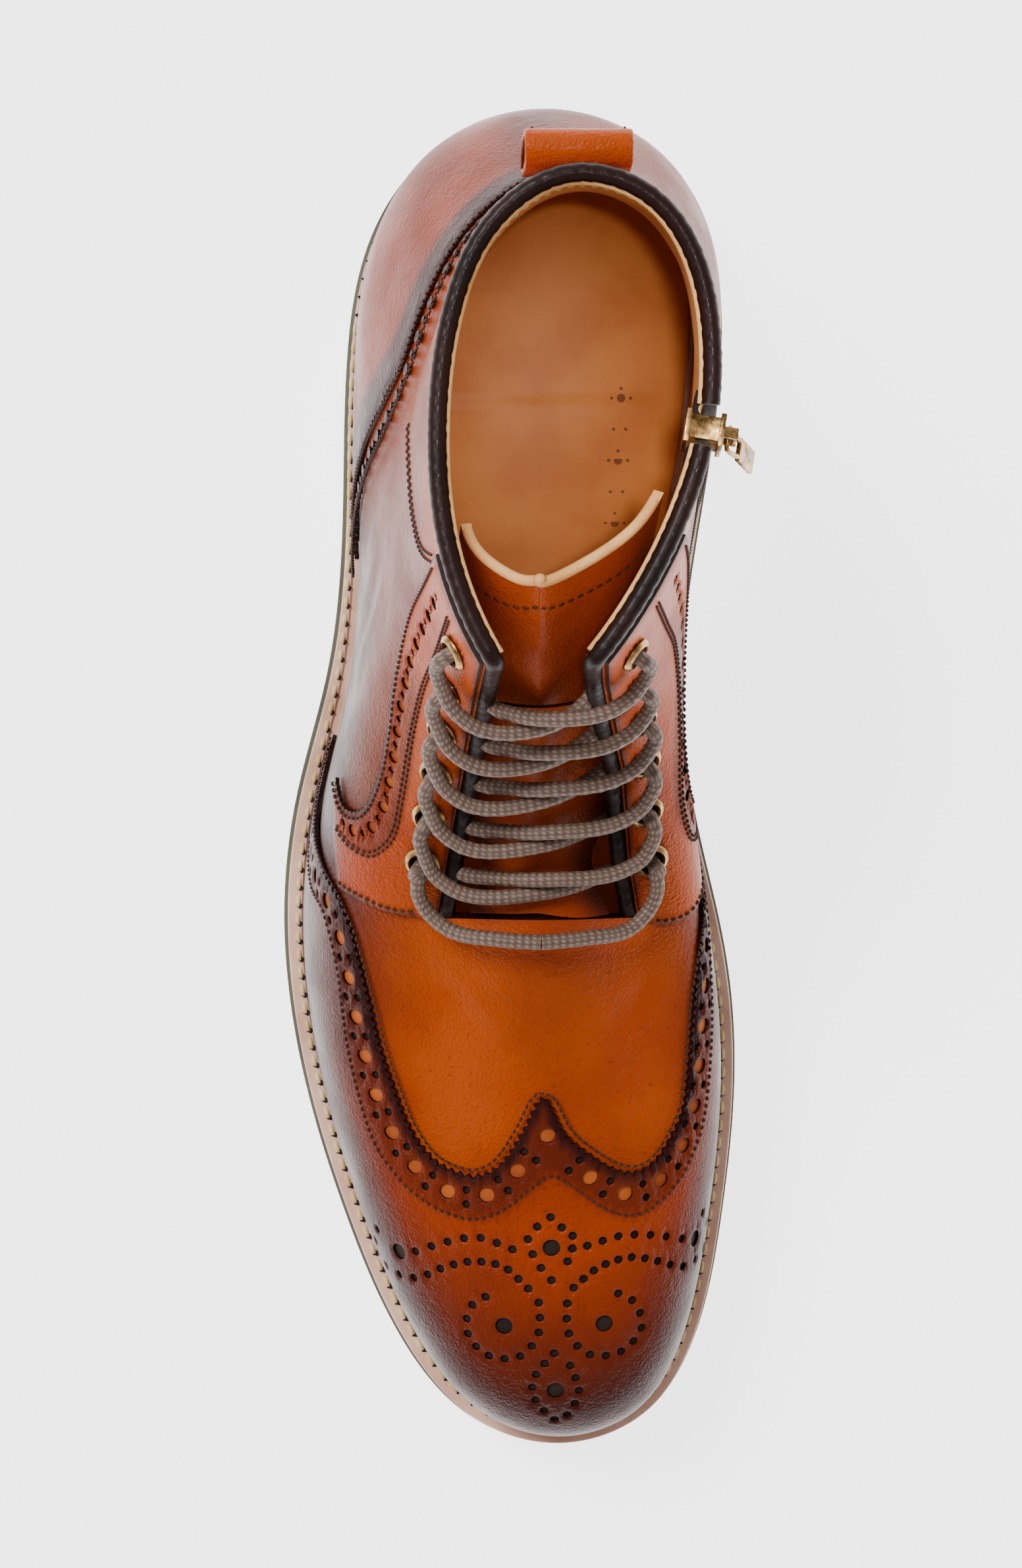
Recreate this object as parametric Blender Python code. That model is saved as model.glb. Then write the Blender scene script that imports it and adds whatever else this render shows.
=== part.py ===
"""A right brogue boot: laced derby front with a winged toe cap, a side zip and a lugged rubber sole.

Metres. X runs across to the inner (medial) side, -Y to the toe, +Z up, and the sole stands on Z = 0.
The upper is one surface over the last: turn runs round the foot (0 toe tip, 0.25 outer side, 0.5 back
of the heel, 0.75 inner side) and level runs up it (0 at the welt, 1 at the collar). Panels, facings,
zip and lacing are all placed by turn and level on that surface.
"""

import math

import bmesh
import bpy
import numpy as np
from mathutils import Matrix, Vector

# Driving sizes
SOLE_LENGTH = 0.312
SOLE_WIDTH = 0.107
HEEL_LIFT = 0.0185
TOE_SPRING = 0.0080
COLLAR_BACK = 0.154
COLLAR_FRONT = 0.161
COLLAR_DIP = 0.003

# Walls and layers
GAP = 0.0003
LAYER_GAP = 0.0005
WALL = 0.0028
OVERLAY_GAP = 0.0003
OVERLAY = 0.0012
WELT_THICK = 0.0032
WELT_TOE = 0.0065
WELT_HEEL = 0.0045
WELT_INSIDE = 0.0050
MIDSOLE_THICK = 0.0040
OUTSOLE_THICK = 0.0047
LUG_DEPTH = 0.0025
INSOLE_THICK = 0.0030
MIDSOLE_MARGIN = 0.0006
WELT_MARGIN = 0.0010
HEEL_MARGIN = 0.0006
HEEL_TAPER = 0.0016
GROOVE_WIDTH = 0.0042
GROOVE_PITCH = 0.0125
GROOVE_TURN = 14.0
GROOVE_INNER = 0.007
HEEL_GROOVE = 0.0030
GROOVE_CENTRE = 0.004
CUT_REACH = 0.0030
# Places of the grooves, as shares of the heel and of the sole's length
HEEL_GROOVES = (0.28, 0.50, 0.72)
GROOVE_END = 0.965
# Points along each layer of the sole
SOLE_STATIONS = 40
OUTSOLE_STATIONS = 36
INSOLE_STATIONS = 26
WELT_STATIONS = 56
HEEL_STATIONS = 26

# Fastenings
BINDING_RADIUS = 0.0019
EYELET_COUNT = 6
EYELET_SIDES = 8
EYELET_BORE = 0.0025
EYELET_BARREL = 0.0029
EYELET_FLANGE = 0.00415
EYELET_RIM = 0.0007
EYELET_INSET = 0.0088
EYELET_SEAT = 0.0008
LACE_RADIUS = 0.00175
LACE_SIDES = 6
LACE_ARCH = 0.0025
LACE_DIP = 0.0010
BAR_ARCH = 0.0085
TONGUE_THICK = 0.0022
TONGUE_LEAN = 0.020
TONGUE_SHIFT = 0.005
# How fast the tongue's thickness turns with the form, so that a narrow boot doesn't fold its inside
TONGUE_CALM = 0.4
LOOP_WIDTH = 0.023
LOOP_THICK = 0.0016
LOOP_DEPTH = 0.0085
LOOP_ACROSS = 0.011
LOOP_SEAT = 0.0007
ZIP_SLOT = 0.0092
ZIP_TAPE_WIDTH = 0.022
ZIP_TAPE_THICK = 0.0008
ZIP_TEETH_WIDTH = 0.0052
ZIP_TEETH_THICK = 0.0022
SLIDER_WIDTH = 0.0072
SLIDER_LENGTH = 0.0100
SLIDER_PLATE = 0.0011
SLIDER_RISE = 0.0035
CROWN_LENGTH = 0.0072
CROWN_WIDTH = 0.0024
CROWN_HEIGHT = 0.0021
CROWN_THICK = 0.0009
PULL_WIRE = 0.0006
PULL_ARM = 0.0095
PULL_SHOULDER = 0.0030
PULL_NECK = 0.0032
PULL_JOIN = 0.0010
PULL_PLATE_LENGTH = 0.0105
PULL_PLATE_WIDTH = 0.0050
PULL_REST_ANGLE = 20.0
JOIN = 0.0002

# Sole outline, from the toe tip round the outer side: share of the length, share of the half width
OUTLINE = (
    (1.000, 0.20), (0.978, -0.20), (0.920, -0.49), (0.830, -0.725), (0.740, -0.89), (0.650, -0.985),
    (0.593, -1.00), (0.506, -0.94), (0.417, -0.81), (0.298, -0.74), (0.180, -0.72), (0.090, -0.615),
    (0.032, -0.38), (0.000, 0.115), (0.032, 0.63), (0.090, 0.85), (0.180, 0.905), (0.300, 0.82),
    (0.417, 0.75), (0.529, 0.82), (0.625, 0.945), (0.712, 0.99), (0.830, 0.93), (0.920, 0.81),
    (0.971, 0.63),
)
# Collar edge in plan: turn, share of the length, share of the half width
COLLAR = (
    (0.00, 0.431, 0.071), (0.05, 0.426, -0.03), (0.10, 0.411, -0.125), (0.15, 0.386, -0.215),
    (0.20, 0.354, -0.295), (0.25, 0.316, -0.355), (0.31, 0.265, -0.385), (0.37, 0.210, -0.375),
    (0.42, 0.158, -0.32), (0.46, 0.110, -0.20), (0.495, 0.077, 0.00), (0.53, 0.066, 0.24),
    (0.57, 0.085, 0.52), (0.61, 0.128, 0.69), (0.66, 0.190, 0.755), (0.71, 0.247, 0.73),
    (0.76, 0.300, 0.635), (0.81, 0.342, 0.52), (0.86, 0.377, 0.395), (0.91, 0.405, 0.27),
    (0.955, 0.423, 0.165),
)
# Side profiles from toe (turn 0) to heel (turn 0.5), the same on both sides. Each of the five inner
# control points is (share of the way in from welt to collar, share of the way up)
PROFILES = (
    # turn,  bulge            shoulder         middle         instep         neck
    (0.00, (-0.010, 0.07), (-0.006, 0.20), (0.27, 0.27), (0.71, 0.40), (0.94, 0.68)),
    (0.07, (-0.012, 0.07), (0.00, 0.205), (0.26, 0.28), (0.70, 0.42), (0.93, 0.70)),
    (0.14, (-0.015, 0.075), (0.00, 0.22), (0.25, 0.34), (0.66, 0.51), (0.91, 0.755)),
    (0.22, (-0.025, 0.08), (0.01, 0.235), (0.26, 0.42), (0.62, 0.60), (0.88, 0.80)),
    (0.30, (-0.05, 0.09), (-0.02, 0.25), (0.20, 0.46), (0.62, 0.66), (0.90, 0.845)),
    (0.37, (-0.07, 0.10), (-0.10, 0.27), (0.32, 0.48), (0.82, 0.67), (1.00, 0.85)),
    (0.43, (-0.10, 0.11), (-0.14, 0.27), (0.38, 0.465), (1.00, 0.66), (1.08, 0.84)),
    (0.50, (-0.10, 0.12), (-0.20, 0.26), (0.40, 0.46), (1.12, 0.66), (1.12, 0.84)),
)
# Edge of the winged toe cap, outer side positive: turn, level
WING = (
    (-0.268, 0.00), (-0.235, 0.20), (-0.205, 0.36), (-0.178, 0.425), (-0.156, 0.470), (-0.131, 0.480),
    (-0.112, 0.457), (-0.097, 0.443), (-0.079, 0.460), (-0.058, 0.483), (-0.042, 0.507), (-0.029, 0.533),
    (-0.018, 0.557), (-0.007, 0.580), (0.003, 0.612), (0.015, 0.577), (0.025, 0.543), (0.037, 0.517),
    (0.051, 0.497), (0.071, 0.473), (0.090, 0.463), (0.107, 0.467), (0.125, 0.473), (0.139, 0.483),
    (0.153, 0.485), (0.168, 0.480), (0.185, 0.452), (0.210, 0.36), (0.238, 0.20), (0.268, 0.00),
)
# Turns where the cap's wings end on the welt, and where its curled front begins
WING_TIPS = (0.264, 0.19)
EDGE_MARGIN = 0.004
# Edge of the heel counter, round the back: turn, level
COUNTER = (
    (0.335, 0.00), (0.350, 0.15), (0.366, 0.36), (0.378, 0.53), (0.392, 0.63), (0.418, 0.675),
    (0.447, 0.695), (0.475, 0.695), (0.500, 0.690), (0.525, 0.695), (0.553, 0.695), (0.582, 0.675),
    (0.608, 0.63), (0.622, 0.53), (0.632, 0.36), (0.645, 0.15), (0.655, 0.00),
)
# Inner edges of the two facings in plan: share of the length, outer and inner share of the half width
THROAT = ((0.355, -0.125, 0.245), (0.417, -0.180, 0.308), (0.478, -0.235, 0.410), (0.545, -0.300, 0.455),
          (0.590, -0.340, 0.505))
# Back edge of the eyestays: level, outer turn, inner turn counted back from the toe
EYESTAY_BACK = ((0.30, 0.262, 0.258), (0.42, 0.238, 0.236), (0.56, 0.216, 0.214), (0.69, 0.206, 0.205),
                (0.76, 0.222, 0.222), (0.86, 0.235, 0.235), (1.00, 0.240, 0.240))
# The throat's corners, and the foot of the eyestays where they meet the wing
THROAT_CORNER = 0.698
EYESTAY_FOOT = 0.490
EYESTAY_FRONT = 0.186
EYELET_LOW = 0.712
EYELET_HIGH = 0.962
# Corner of the throat: how far back it is rounded, as a share of the length, and how far in
THROAT_ROUND = 0.012
THROAT_NOTCH = 0.04
# Zip line: level, turn
ZIP = ((0.17, 0.668), (0.60, 0.690), (1.00, 0.706))
SLIDER_LEVEL = 0.955
ZIP_FOOT = 0.02
ZIP_END = SLIDER_LEVEL - 0.018
# Pull loop: turn of its middle, levels of its foot and fold
LOOP_TURN = 0.52
LOOP_LEVELS = (0.74, 0.965)
# Tongue rows: level at the middle, level at the sides, spread in turn, depth share, lean share
TONGUE = (
    (0.766, 0.727, 0.064, 0.00, 0.00), (0.784, 0.745, 0.064, 0.45, 0.00), (0.806, 0.765, 0.070, 1.00, 0.00),
    (0.838, 0.775, 0.115, 1.00, 0.00), (0.880, 0.800, 0.150, 1.00, 0.06), (0.915, 0.830, 0.185, 1.00, 0.22),
    (0.945, 0.870, 0.215, 1.00, 0.48), (0.970, 0.915, 0.240, 1.00, 0.75), (0.990, 0.965, 0.262, 1.00, 1.00),
)
# Levels of the upper's mesh, closest where the toe turns over
UPPER_LEVELS = (0.0, 0.07, 0.13, 0.18, 0.225, 0.27, 0.315, 0.365, 0.42, 0.48, 0.55, 0.63, 0.71, 0.79,
                0.86, 0.93, 1.0)
UPPER_COLUMNS = 42

FEATHER_BALL = WELT_THICK + MIDSOLE_THICK + OUTSOLE_THICK + LUG_DEPTH + 2 * LAYER_GAP
FACE = OVERLAY_GAP + OVERLAY
TONGUE_DEPTH = WALL + 2 * LACE_RADIUS + 0.0006
HEEL_BREAST = 0.205 * SOLE_LENGTH
FOREFOOT_START = 0.475 * SOLE_LENGTH
OUTLINE_STEPS = 720


def ease(x):
    x = np.clip(x, 0, 1)
    return x * x * (3 - 2 * x)


def spline(knots, values, period, at):
    """Smooth closed curve through values at knots that repeats after period."""
    knots = np.asarray(knots, float)
    values = np.asarray(values, float).reshape(len(knots), -1)
    n = len(knots)
    gap = np.diff(np.append(knots, knots[0] + period))
    rise = (np.roll(values, -1, 0) - values) / gap[:, None]
    system = np.zeros((n, n))
    for i in range(n):
        system[i, i - 1] += gap[i - 1]
        system[i, i] += 2 * (gap[i - 1] + gap[i])
        system[i, (i + 1) % n] += gap[i]
    bend = np.linalg.solve(system, 6 * (rise - np.roll(rise, 1, 0)))
    at = (np.asarray(at, float) - knots[0]) % period + knots[0]
    i = np.clip(np.searchsorted(knots, at, side="right") - 1, 0, n - 1)
    j = (i + 1) % n
    h = gap[i][:, None]
    b = ((at - knots[i]) / gap[i])[:, None]
    a = 1 - b
    return a * values[i] + b * values[j] + ((a**3 - a) * bend[i] + (b**3 - b) * bend[j]) * h * h / 6


def table_at(table, at, column=1):
    """A column of a short table, read between its rows along the first column."""
    rows = np.array(table, float)
    return np.interp(at, rows[:, 0], rows[:, column])


def resample(points, count):
    """count points evenly spaced round a closed dense line, from its first point."""
    closed = np.vstack([points, points[:1]])
    run = np.concatenate([[0], np.cumsum(np.linalg.norm(np.diff(closed, axis=0), axis=1))])
    at = np.arange(count) / count * run[-1]
    return np.stack([np.interp(at, run, closed[:, k]) for k in range(closed.shape[1])], 1)


def inset(loop, distance):
    """The closed plan line moved inward by distance."""
    ahead = np.roll(loop, -1, 0) - np.roll(loop, 1, 0)
    ahead /= np.linalg.norm(ahead, axis=1)[:, None]
    inward = np.stack([-ahead[:, 1], ahead[:, 0]], 1)
    if ((loop.mean(0) - loop) * inward).sum() < 0:
        inward = -inward
    return loop + inward * np.reshape(distance, (-1, 1))


def sole_outline(margin=0.0):
    """(along from the heel, across) round the sole, toe tip first, outer side first."""
    knots = np.array(OUTLINE) * [SOLE_LENGTH, SOLE_WIDTH / 2]
    closed = np.vstack([knots, knots[:1]])
    run = np.concatenate([[0], np.cumsum(np.linalg.norm(np.diff(closed, axis=0), axis=1))])
    dense = spline(run[:-1], knots, run[-1], np.linspace(0, run[-1], 2000, endpoint=False))
    low, high = dense.min(0), dense.max(0)
    dense = (dense - low) / (high - low) * [SOLE_LENGTH, SOLE_WIDTH] - [0, SOLE_WIDTH / 2]
    loop = resample(np.roll(dense, -np.argmax(dense[:, 0]), 0), OUTLINE_STEPS)
    return resample(inset(loop, margin), OUTLINE_STEPS)


def welt_margin(along):
    """How far the upper stands in from the edge of the sole."""
    return WELT_HEEL + (WELT_TOE - WELT_HEEL) * ease((along / SOLE_LENGTH - 0.25) / 0.3)


def welt_height(along):
    """Height of the welt's top: heel lift, arch and toe spring."""
    share = np.asarray(along) / SOLE_LENGTH
    lift = HEEL_LIFT * (1 - ease((share - 0.20) / 0.37))
    spring = TOE_SPRING * np.clip((share - 0.70) / 0.30, 0, 1) ** 1.8
    return FEATHER_BALL + lift + spring


def collar_height(along):
    share = np.clip((np.asarray(along) / SOLE_LENGTH - 0.07) / 0.36, 0, 1)
    return COLLAR_BACK + (COLLAR_FRONT - COLLAR_BACK) * share - COLLAR_DIP * np.sin(np.pi * share)


EDGE = sole_outline()
FEATHER = resample(inset(EDGE, welt_margin(EDGE[:, 0])), OUTLINE_STEPS)


def feather(turn):
    at = (turn % 1) * OUTLINE_STEPS
    closed = np.vstack([FEATHER, FEATHER[:1]])
    plan = np.stack([np.interp(at, np.arange(OUTLINE_STEPS + 1), closed[:, k]) for k in range(2)], 1)
    return np.column_stack([plan, welt_height(plan[:, 0]) + GAP])


def collar(turn):
    table = np.array(COLLAR)
    plan = spline(table[:, 0], table[:, 1:], 1.0, turn % 1) * [SOLE_LENGTH, SOLE_WIDTH / 2]
    return np.column_stack([plan, collar_height(plan[:, 0])])


def profile(turn):
    """Inner control points of the side profile at each turn."""
    rows = [(r[0], np.ravel(r[1:])) for r in PROFILES]
    knots = [r[0] for r in rows] + [1 - r[0] for r in rows[-2:0:-1]]
    values = [r[1] for r in rows] + [r[1] for r in rows[-2:0:-1]]
    return spline(knots, values, 1.0, turn).reshape(-1, 5, 2)


def curve_weights(count, level, degree=3):
    """Weights of count control points at each level of a clamped B-spline."""
    level = np.clip(level, 0, 1 - 1e-12)
    knots = np.concatenate([np.zeros(degree), np.linspace(0, 1, count - degree + 1), np.ones(degree)])
    weights = ((level[:, None] >= knots[None, :-1]) & (level[:, None] < knots[None, 1:])).astype(float)
    for d in range(1, degree + 1):
        raised = np.zeros((len(level), len(knots) - 1 - d))
        for i in range(raised.shape[1]):
            if knots[i + d] > knots[i]:
                raised[:, i] += (level - knots[i]) / (knots[i + d] - knots[i]) * weights[:, i]
            if knots[i + d + 1] > knots[i + 1]:
                share = (knots[i + d + 1] - level) / (knots[i + d + 1] - knots[i + 1])
                raised[:, i] += share * weights[:, i + 1]
        weights = raised
    return weights


def surface(turn, level):
    """Points (along, across, up) of the upper's outside."""
    turn, level = np.broadcast_arrays(np.asarray(turn, float), np.asarray(level, float))
    shape = turn.shape
    turn, level = turn.ravel(), level.ravel()
    low, top, inner = feather(turn), collar(turn), profile(turn)
    ends = np.zeros((len(turn), 1)), np.ones((len(turn), 1))
    weights = curve_weights(7, level)
    inward = (weights * np.hstack([ends[0], inner[:, :, 0], ends[1]])).sum(1)
    upward = (weights * np.hstack([ends[0], inner[:, :, 1], ends[1]])).sum(1)
    plan = low[:, :2] + (top[:, :2] - low[:, :2]) * inward[:, None]
    up = low[:, 2] + (top[:, 2] - low[:, 2]) * upward
    return np.column_stack([plan, up]).reshape(*shape, 3)


def world(points):
    points = np.asarray(points, float)
    return np.stack([points[..., 1], SOLE_LENGTH / 2 - points[..., 0], points[..., 2]], -1)


def outward(turn, level):
    """Unit normals of the upper in world axes, level at the welt so that edges sit flat on it."""
    step = 1e-3
    level = np.asarray(level, float)
    round_foot = surface(turn + step, level) - surface(turn - step, level)
    up_foot = surface(turn, np.minimum(level + step, 1)) - surface(turn, np.maximum(level - step, 0))
    normal = np.cross(up_foot, round_foot)
    normal[..., 2] *= ease(level / 0.06) * ease((1 - level) / 0.04)
    normal /= np.linalg.norm(normal, axis=-1, keepdims=True)
    return np.stack([normal[..., 1], -normal[..., 0], normal[..., 2]], -1)


def skin(turn, level, out=0.0):
    """World points at a distance out from the upper's outside."""
    turn, level, out = np.broadcast_arrays(np.asarray(turn, float), np.asarray(level, float), out)
    return world(surface(turn, level)) + outward(turn, level) * out[..., None]


def shift(turn, level, distance, steps=8):
    """The turn that lies distance further round the foot at the same level."""
    turn = np.asarray(turn, float)
    for _ in range(steps):
        rate = np.linalg.norm(surface(turn + 1e-3, level) - surface(turn - 1e-3, level), axis=-1) / 2e-3
        turn = turn + distance / steps / rate
    return turn


def facing_edge(level, side):
    """Turn of a facing's inner edge: side 1 is the outer facing, -1 the inner one."""
    level = np.asarray(level, float)
    near, far = np.zeros(level.shape), np.full(level.shape, 0.25 * side)
    column = 1 if side > 0 else 2
    for _ in range(30):
        middle = (near + far) / 2
        point = surface(middle, level)
        edge = table_at(THROAT, point[..., 0] / SOLE_LENGTH, column) * SOLE_WIDTH / 2
        beyond = (point[..., 1] < edge) if side > 0 else (point[..., 1] > edge)
        far = np.where(beyond, middle, far)
        near = np.where(beyond, near, middle)
    return middle


def lacing_level(row):
    """Level of a lacing row: 1 is the lowest pair of eyelets, EYELET_COUNT the highest."""
    share = (np.asarray(row, float) - 1) / (EYELET_COUNT - 1)
    return EYELET_LOW + (EYELET_HIGH - EYELET_LOW) * share


def lacing_point(place, row, out, arch):
    """World points of the lacing: place -1 and 1 are the two eyelets of a row, -0.5 and 0.5 the
    edges of the facings, and between the edges the lace spans the throat in a low arch."""
    place, level = np.asarray(place, float), lacing_level(row)
    sides = []
    for side in (1, -1):
        onto = np.maximum(-side * place - 0.5, 0) * 2 * EYELET_INSET * side
        sides.append(skin(shift(facing_edge(level, side), level, onto), level, out))
    share = np.clip(place + 0.5, 0, 1)[:, None]
    point = sides[0] * (1 - share) + sides[1] * share
    lift = outward(np.zeros(len(place)), level)
    return point + lift * (arch * 4 * share * (1 - share))


def plain_finish(name, colour, roughness=0.45, metallic=0.0):
    """A finish of its own for each piece: colour, roughness and whether it is metal."""
    finish = bpy.data.materials.new(name + "_finish")
    finish.use_nodes = True
    shader = finish.node_tree.nodes["Principled BSDF"]
    shader.inputs["Base Color"].default_value = (*colour, 1.0)
    shader.inputs["Roughness"].default_value = roughness
    shader.inputs["Metallic"].default_value = metallic
    return finish


BROWN = (0.42, 0.11, 0.02)
DARK = (0.12, 0.03, 0.015)
TAN = (0.62, 0.33, 0.12)
WELT_TAN = (0.36, 0.18, 0.12)
RUBBER = (0.15, 0.14, 0.11)
CORD = (0.09, 0.06, 0.045)
BRASS = (0.45, 0.30, 0.13)
BLACK = (0.02, 0.015, 0.012)


def add(name, points, faces, finish, smooth=40.0):
    """An object from points and faces, with its faces turned outward."""
    mesh = bpy.data.meshes.new(name)
    mesh.from_pydata([tuple(p) for p in np.asarray(points, float)], [], faces)
    shape = bmesh.new()
    shape.from_mesh(mesh)
    bmesh.ops.remove_doubles(shape, verts=shape.verts, dist=1e-6)
    bmesh.ops.recalc_face_normals(shape, faces=shape.faces)
    shape.to_mesh(mesh)
    shape.free()
    mesh.materials.append(finish)
    mesh.shade_smooth()
    mesh.set_sharp_from_angle(angle=math.radians(smooth))
    item = bpy.data.objects.new(name, mesh)
    bpy.context.scene.collection.objects.link(item)
    return item


def hide_guide(item):
    item.hide_render = True
    item.display_type = "WIRE"
    return item


def combine(item, guide, operation):
    hide_guide(guide)
    step = item.modifiers.new(guide.name, "BOOLEAN")
    step.operation = operation
    step.solver = "EXACT"
    step.object = guide
    return item


def sheet_faces(rows, columns, closed):
    """Faces of a wall whose outer grid comes first and inner grid second. The grids are split into
    triangles the same way, so that walls on one grid stay parallel."""
    def at(i, j, inner):
        return (i % rows) * columns + j + inner * rows * columns
    faces = []
    for i in range(rows if closed else rows - 1):
        for j in range(columns - 1):
            for inner in (0, 1):
                faces.append((at(i, j, inner), at(i + 1, j, inner), at(i + 1, j + 1, inner)))
                faces.append((at(i, j, inner), at(i + 1, j + 1, inner), at(i, j + 1, inner)))
        for j in (0, columns - 1):
            faces.append((at(i, j, 0), at(i + 1, j, 0), at(i + 1, j, 1), at(i, j, 1)))
    if not closed:
        for i in (0, rows - 1):
            for j in range(columns - 1):
                faces.append((at(i, j, 0), at(i, j + 1, 0), at(i, j + 1, 1), at(i, j, 1)))
    return faces


def add_wall(name, outer, inner, finish, closed=False):
    """A closed wall between two grids of points."""
    rows, columns = outer.shape[:2]
    points = np.vstack([outer.reshape(-1, 3), inner.reshape(-1, 3)])
    return add(name, points, sheet_faces(rows, columns, closed), finish)


def add_overlay(name, turn, level, finish):
    """A piece of leather on the upper: a shell on the upper's own grid, cut to an outline."""
    columns = turn_stations(UPPER_COLUMNS)
    columns = np.concatenate([columns - 1, columns])
    near = np.flatnonzero((columns > turn.min()) & (columns < turn.max()))
    columns = columns[near[0] - 1: near[-1] + 2]
    levels = np.array(UPPER_LEVELS)
    near = np.flatnonzero((levels > level.min() + 1e-6) & (levels < level.max() - 1e-6))
    levels = levels[near[0] - 1: near[-1] + 2]
    grid = np.meshgrid(columns, levels, indexing="ij")
    shell = add_wall(name, skin(*grid, FACE), skin(*grid, OVERLAY_GAP), finish)
    outline = [skin(turn, level, out) for out in (FACE + CUT_REACH, OVERLAY_GAP - CUT_REACH)]
    for grid in outline:
        grid[..., 2] -= np.where(level == 0, CUT_REACH, 0)
    return combine(shell, add_wall(name + "_outline", *outline, finish), "INTERSECT")


def add_tube(name, path, radius, sides, finish):
    """A round cord along a path of world points."""
    path = np.asarray(path, float)
    ahead = np.gradient(path, axis=0)
    ahead /= np.linalg.norm(ahead, axis=1)[:, None]
    across = np.cross(ahead[0], (0.0, 0.0, 1.0))
    if np.linalg.norm(across) < 0.1:
        across = np.cross(ahead[0], (1.0, 0.0, 0.0))
    points = []
    for centre, along in zip(path, ahead):
        across = across - along * np.dot(across, along)
        across /= np.linalg.norm(across)
        lift = np.cross(along, across)
        for k in range(sides):
            angle = 2 * math.pi * k / sides
            points.append(centre + radius * (math.cos(angle) * across + math.sin(angle) * lift))
    faces = [tuple(range(sides)), tuple(range(len(points) - sides, len(points)))]
    for i in range(len(path) - 1):
        for k in range(sides):
            nxt = (k + 1) % sides
            faces.append((i * sides + k, i * sides + nxt, (i + 1) * sides + nxt, (i + 1) * sides + k))
    return add(name, points, faces, finish)


def add_turned(name, outline, frame, sides, finish):
    """A ring turned about the frame's Z axis from (radius, height) pairs of a closed outline."""
    points = []
    for k in range(sides):
        angle = 2 * math.pi * k / sides
        for radius, height in outline:
            points.append(frame @ Vector((radius * math.cos(angle), radius * math.sin(angle), height)))
    count = len(outline)
    faces = []
    for k in range(sides):
        for i in range(count):
            j, nxt = (i + 1) % count, (k + 1) % sides
            faces.append((k * count + i, k * count + j, nxt * count + j, nxt * count + i))
    return add(name, points, faces, finish)


def drum_faces(count, base=0):
    """Faces of a drum whose lower and upper rings have count points each."""
    faces = [tuple(base + i for i in range(count)), tuple(base + count + i for i in range(count))]
    for i in range(count):
        ahead = (i + 1) % count
        faces.append((base + i, base + ahead, base + count + ahead, base + count + i))
    return faces


def add_prism(name, plan, low, high, finish):
    """A straight prism on a plan of (x, y) points."""
    plan = np.asarray(plan, float)
    count = len(plan)
    points = np.vstack([np.column_stack([plan, np.full(count, height)]) for height in (low, high)])
    return add(name, points, drum_faces(count), finish)


def box_points(low, high):
    return [(x, y, z) for x in (low[0], high[0]) for y in (low[1], high[1]) for z in (low[2], high[2])]


BOX_FACES = ((0, 1, 3, 2), (4, 5, 7, 6), (0, 1, 5, 4), (2, 3, 7, 6), (0, 2, 6, 4), (1, 3, 7, 5))


def frame_on(turn, level, lean=0.0):
    """Axes on the upper: X round the foot, Y up it, Z outward. lean is the turn that a line such as
    the zip gains for each level."""
    turn, level = np.array([turn]), np.array([level])
    normal = Vector(outward(turn, level)[0])
    up = Vector(skin(turn + 0.01 * lean, level + 0.01)[0] - skin(turn - 0.01 * lean, level - 0.01)[0])
    up = (up - normal * up.dot(normal)).normalized()
    axes = Matrix((up.cross(normal), up, normal)).transposed().to_4x4()
    return Matrix.Translation(Vector(skin(turn, level)[0])) @ axes


def turn_stations(count):
    """Turns round the foot, closer together at toe and heel."""
    even = np.arange(count) / count
    return even - 0.30 * np.sin(4 * np.pi * even) / (4 * np.pi)


# Sole layers
def layer_stations(loop, count):
    """Matching outer-side and inner-side points at stations from toe tip to heel end."""
    tip, end = np.argmax(loop[:, 0]), np.argmin(loop[:, 0])
    outer = np.roll(loop, -tip, 0)[: (end - tip) % len(loop) + 1]
    inner = np.roll(loop[::-1], -(len(loop) - 1 - tip), 0)[: (tip - end) % len(loop) + 1]
    share = (1 - np.cos(np.linspace(0, np.pi, count))) / 2
    even = np.linspace(0, 1, count)
    along = outer[0, 0] + (outer[-1, 0] - outer[0, 0]) * (0.6 * share + 0.4 * even)
    sides = []
    for half in (outer, inner):
        order = np.argsort(half[:, 0])
        sides.append(np.interp(along, half[order, 0], half[order, 1]))
    return along, sides[0], sides[1]


def layer_ring(loop, height, stations):
    """Points of one face of a sole layer, toe tip first and outer side first."""
    along, outer, inner = layer_stations(loop, stations)
    up = height(along)
    tip = [(along[0], (outer[0] + inner[0]) / 2, up[0])]
    end = [(along[-1], (outer[-1] + inner[-1]) / 2, up[-1])]
    down = list(zip(along[1:-1], outer[1:-1], up[1:-1]))
    back = list(zip(along[-2:0:-1], inner[-2:0:-1], up[-2:0:-1]))
    return tip + down + end + back


def add_plate(name, upper, lower, finish):
    """A closed plate between two rings of points, with its two faces laid straight across."""
    count = len(upper)
    faces = [(i, (i + 1) % count, count + (i + 1) % count, count + i) for i in range(count)]
    for base in (0, count):
        for i in range(count // 2):
            corners = [base + i, base + i + 1, base + (count - i - 1) % count, base + (count - i) % count]
            faces.append(tuple(dict.fromkeys(corners)))
    return add(name, world(upper + lower), faces, finish)


def add_layer(name, margin, top, bottom, finish, stations=SOLE_STATIONS):
    """A sole layer: the outline less margin, between two heights that follow the length."""
    loop = sole_outline(margin)
    return add_plate(name, layer_ring(loop, top, stations), layer_ring(loop, bottom, stations), finish)


def midsole_top(along):
    return welt_height(along) - WELT_THICK - LAYER_GAP


def outsole_top(along):
    return midsole_top(along) - MIDSOLE_THICK - LAYER_GAP


def outsole_bottom(along):
    lugs = ease((along - FOREFOOT_START) / (0.03 * SOLE_LENGTH))
    return outsole_top(along) - OUTSOLE_THICK - LUG_DEPTH * lugs


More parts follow.
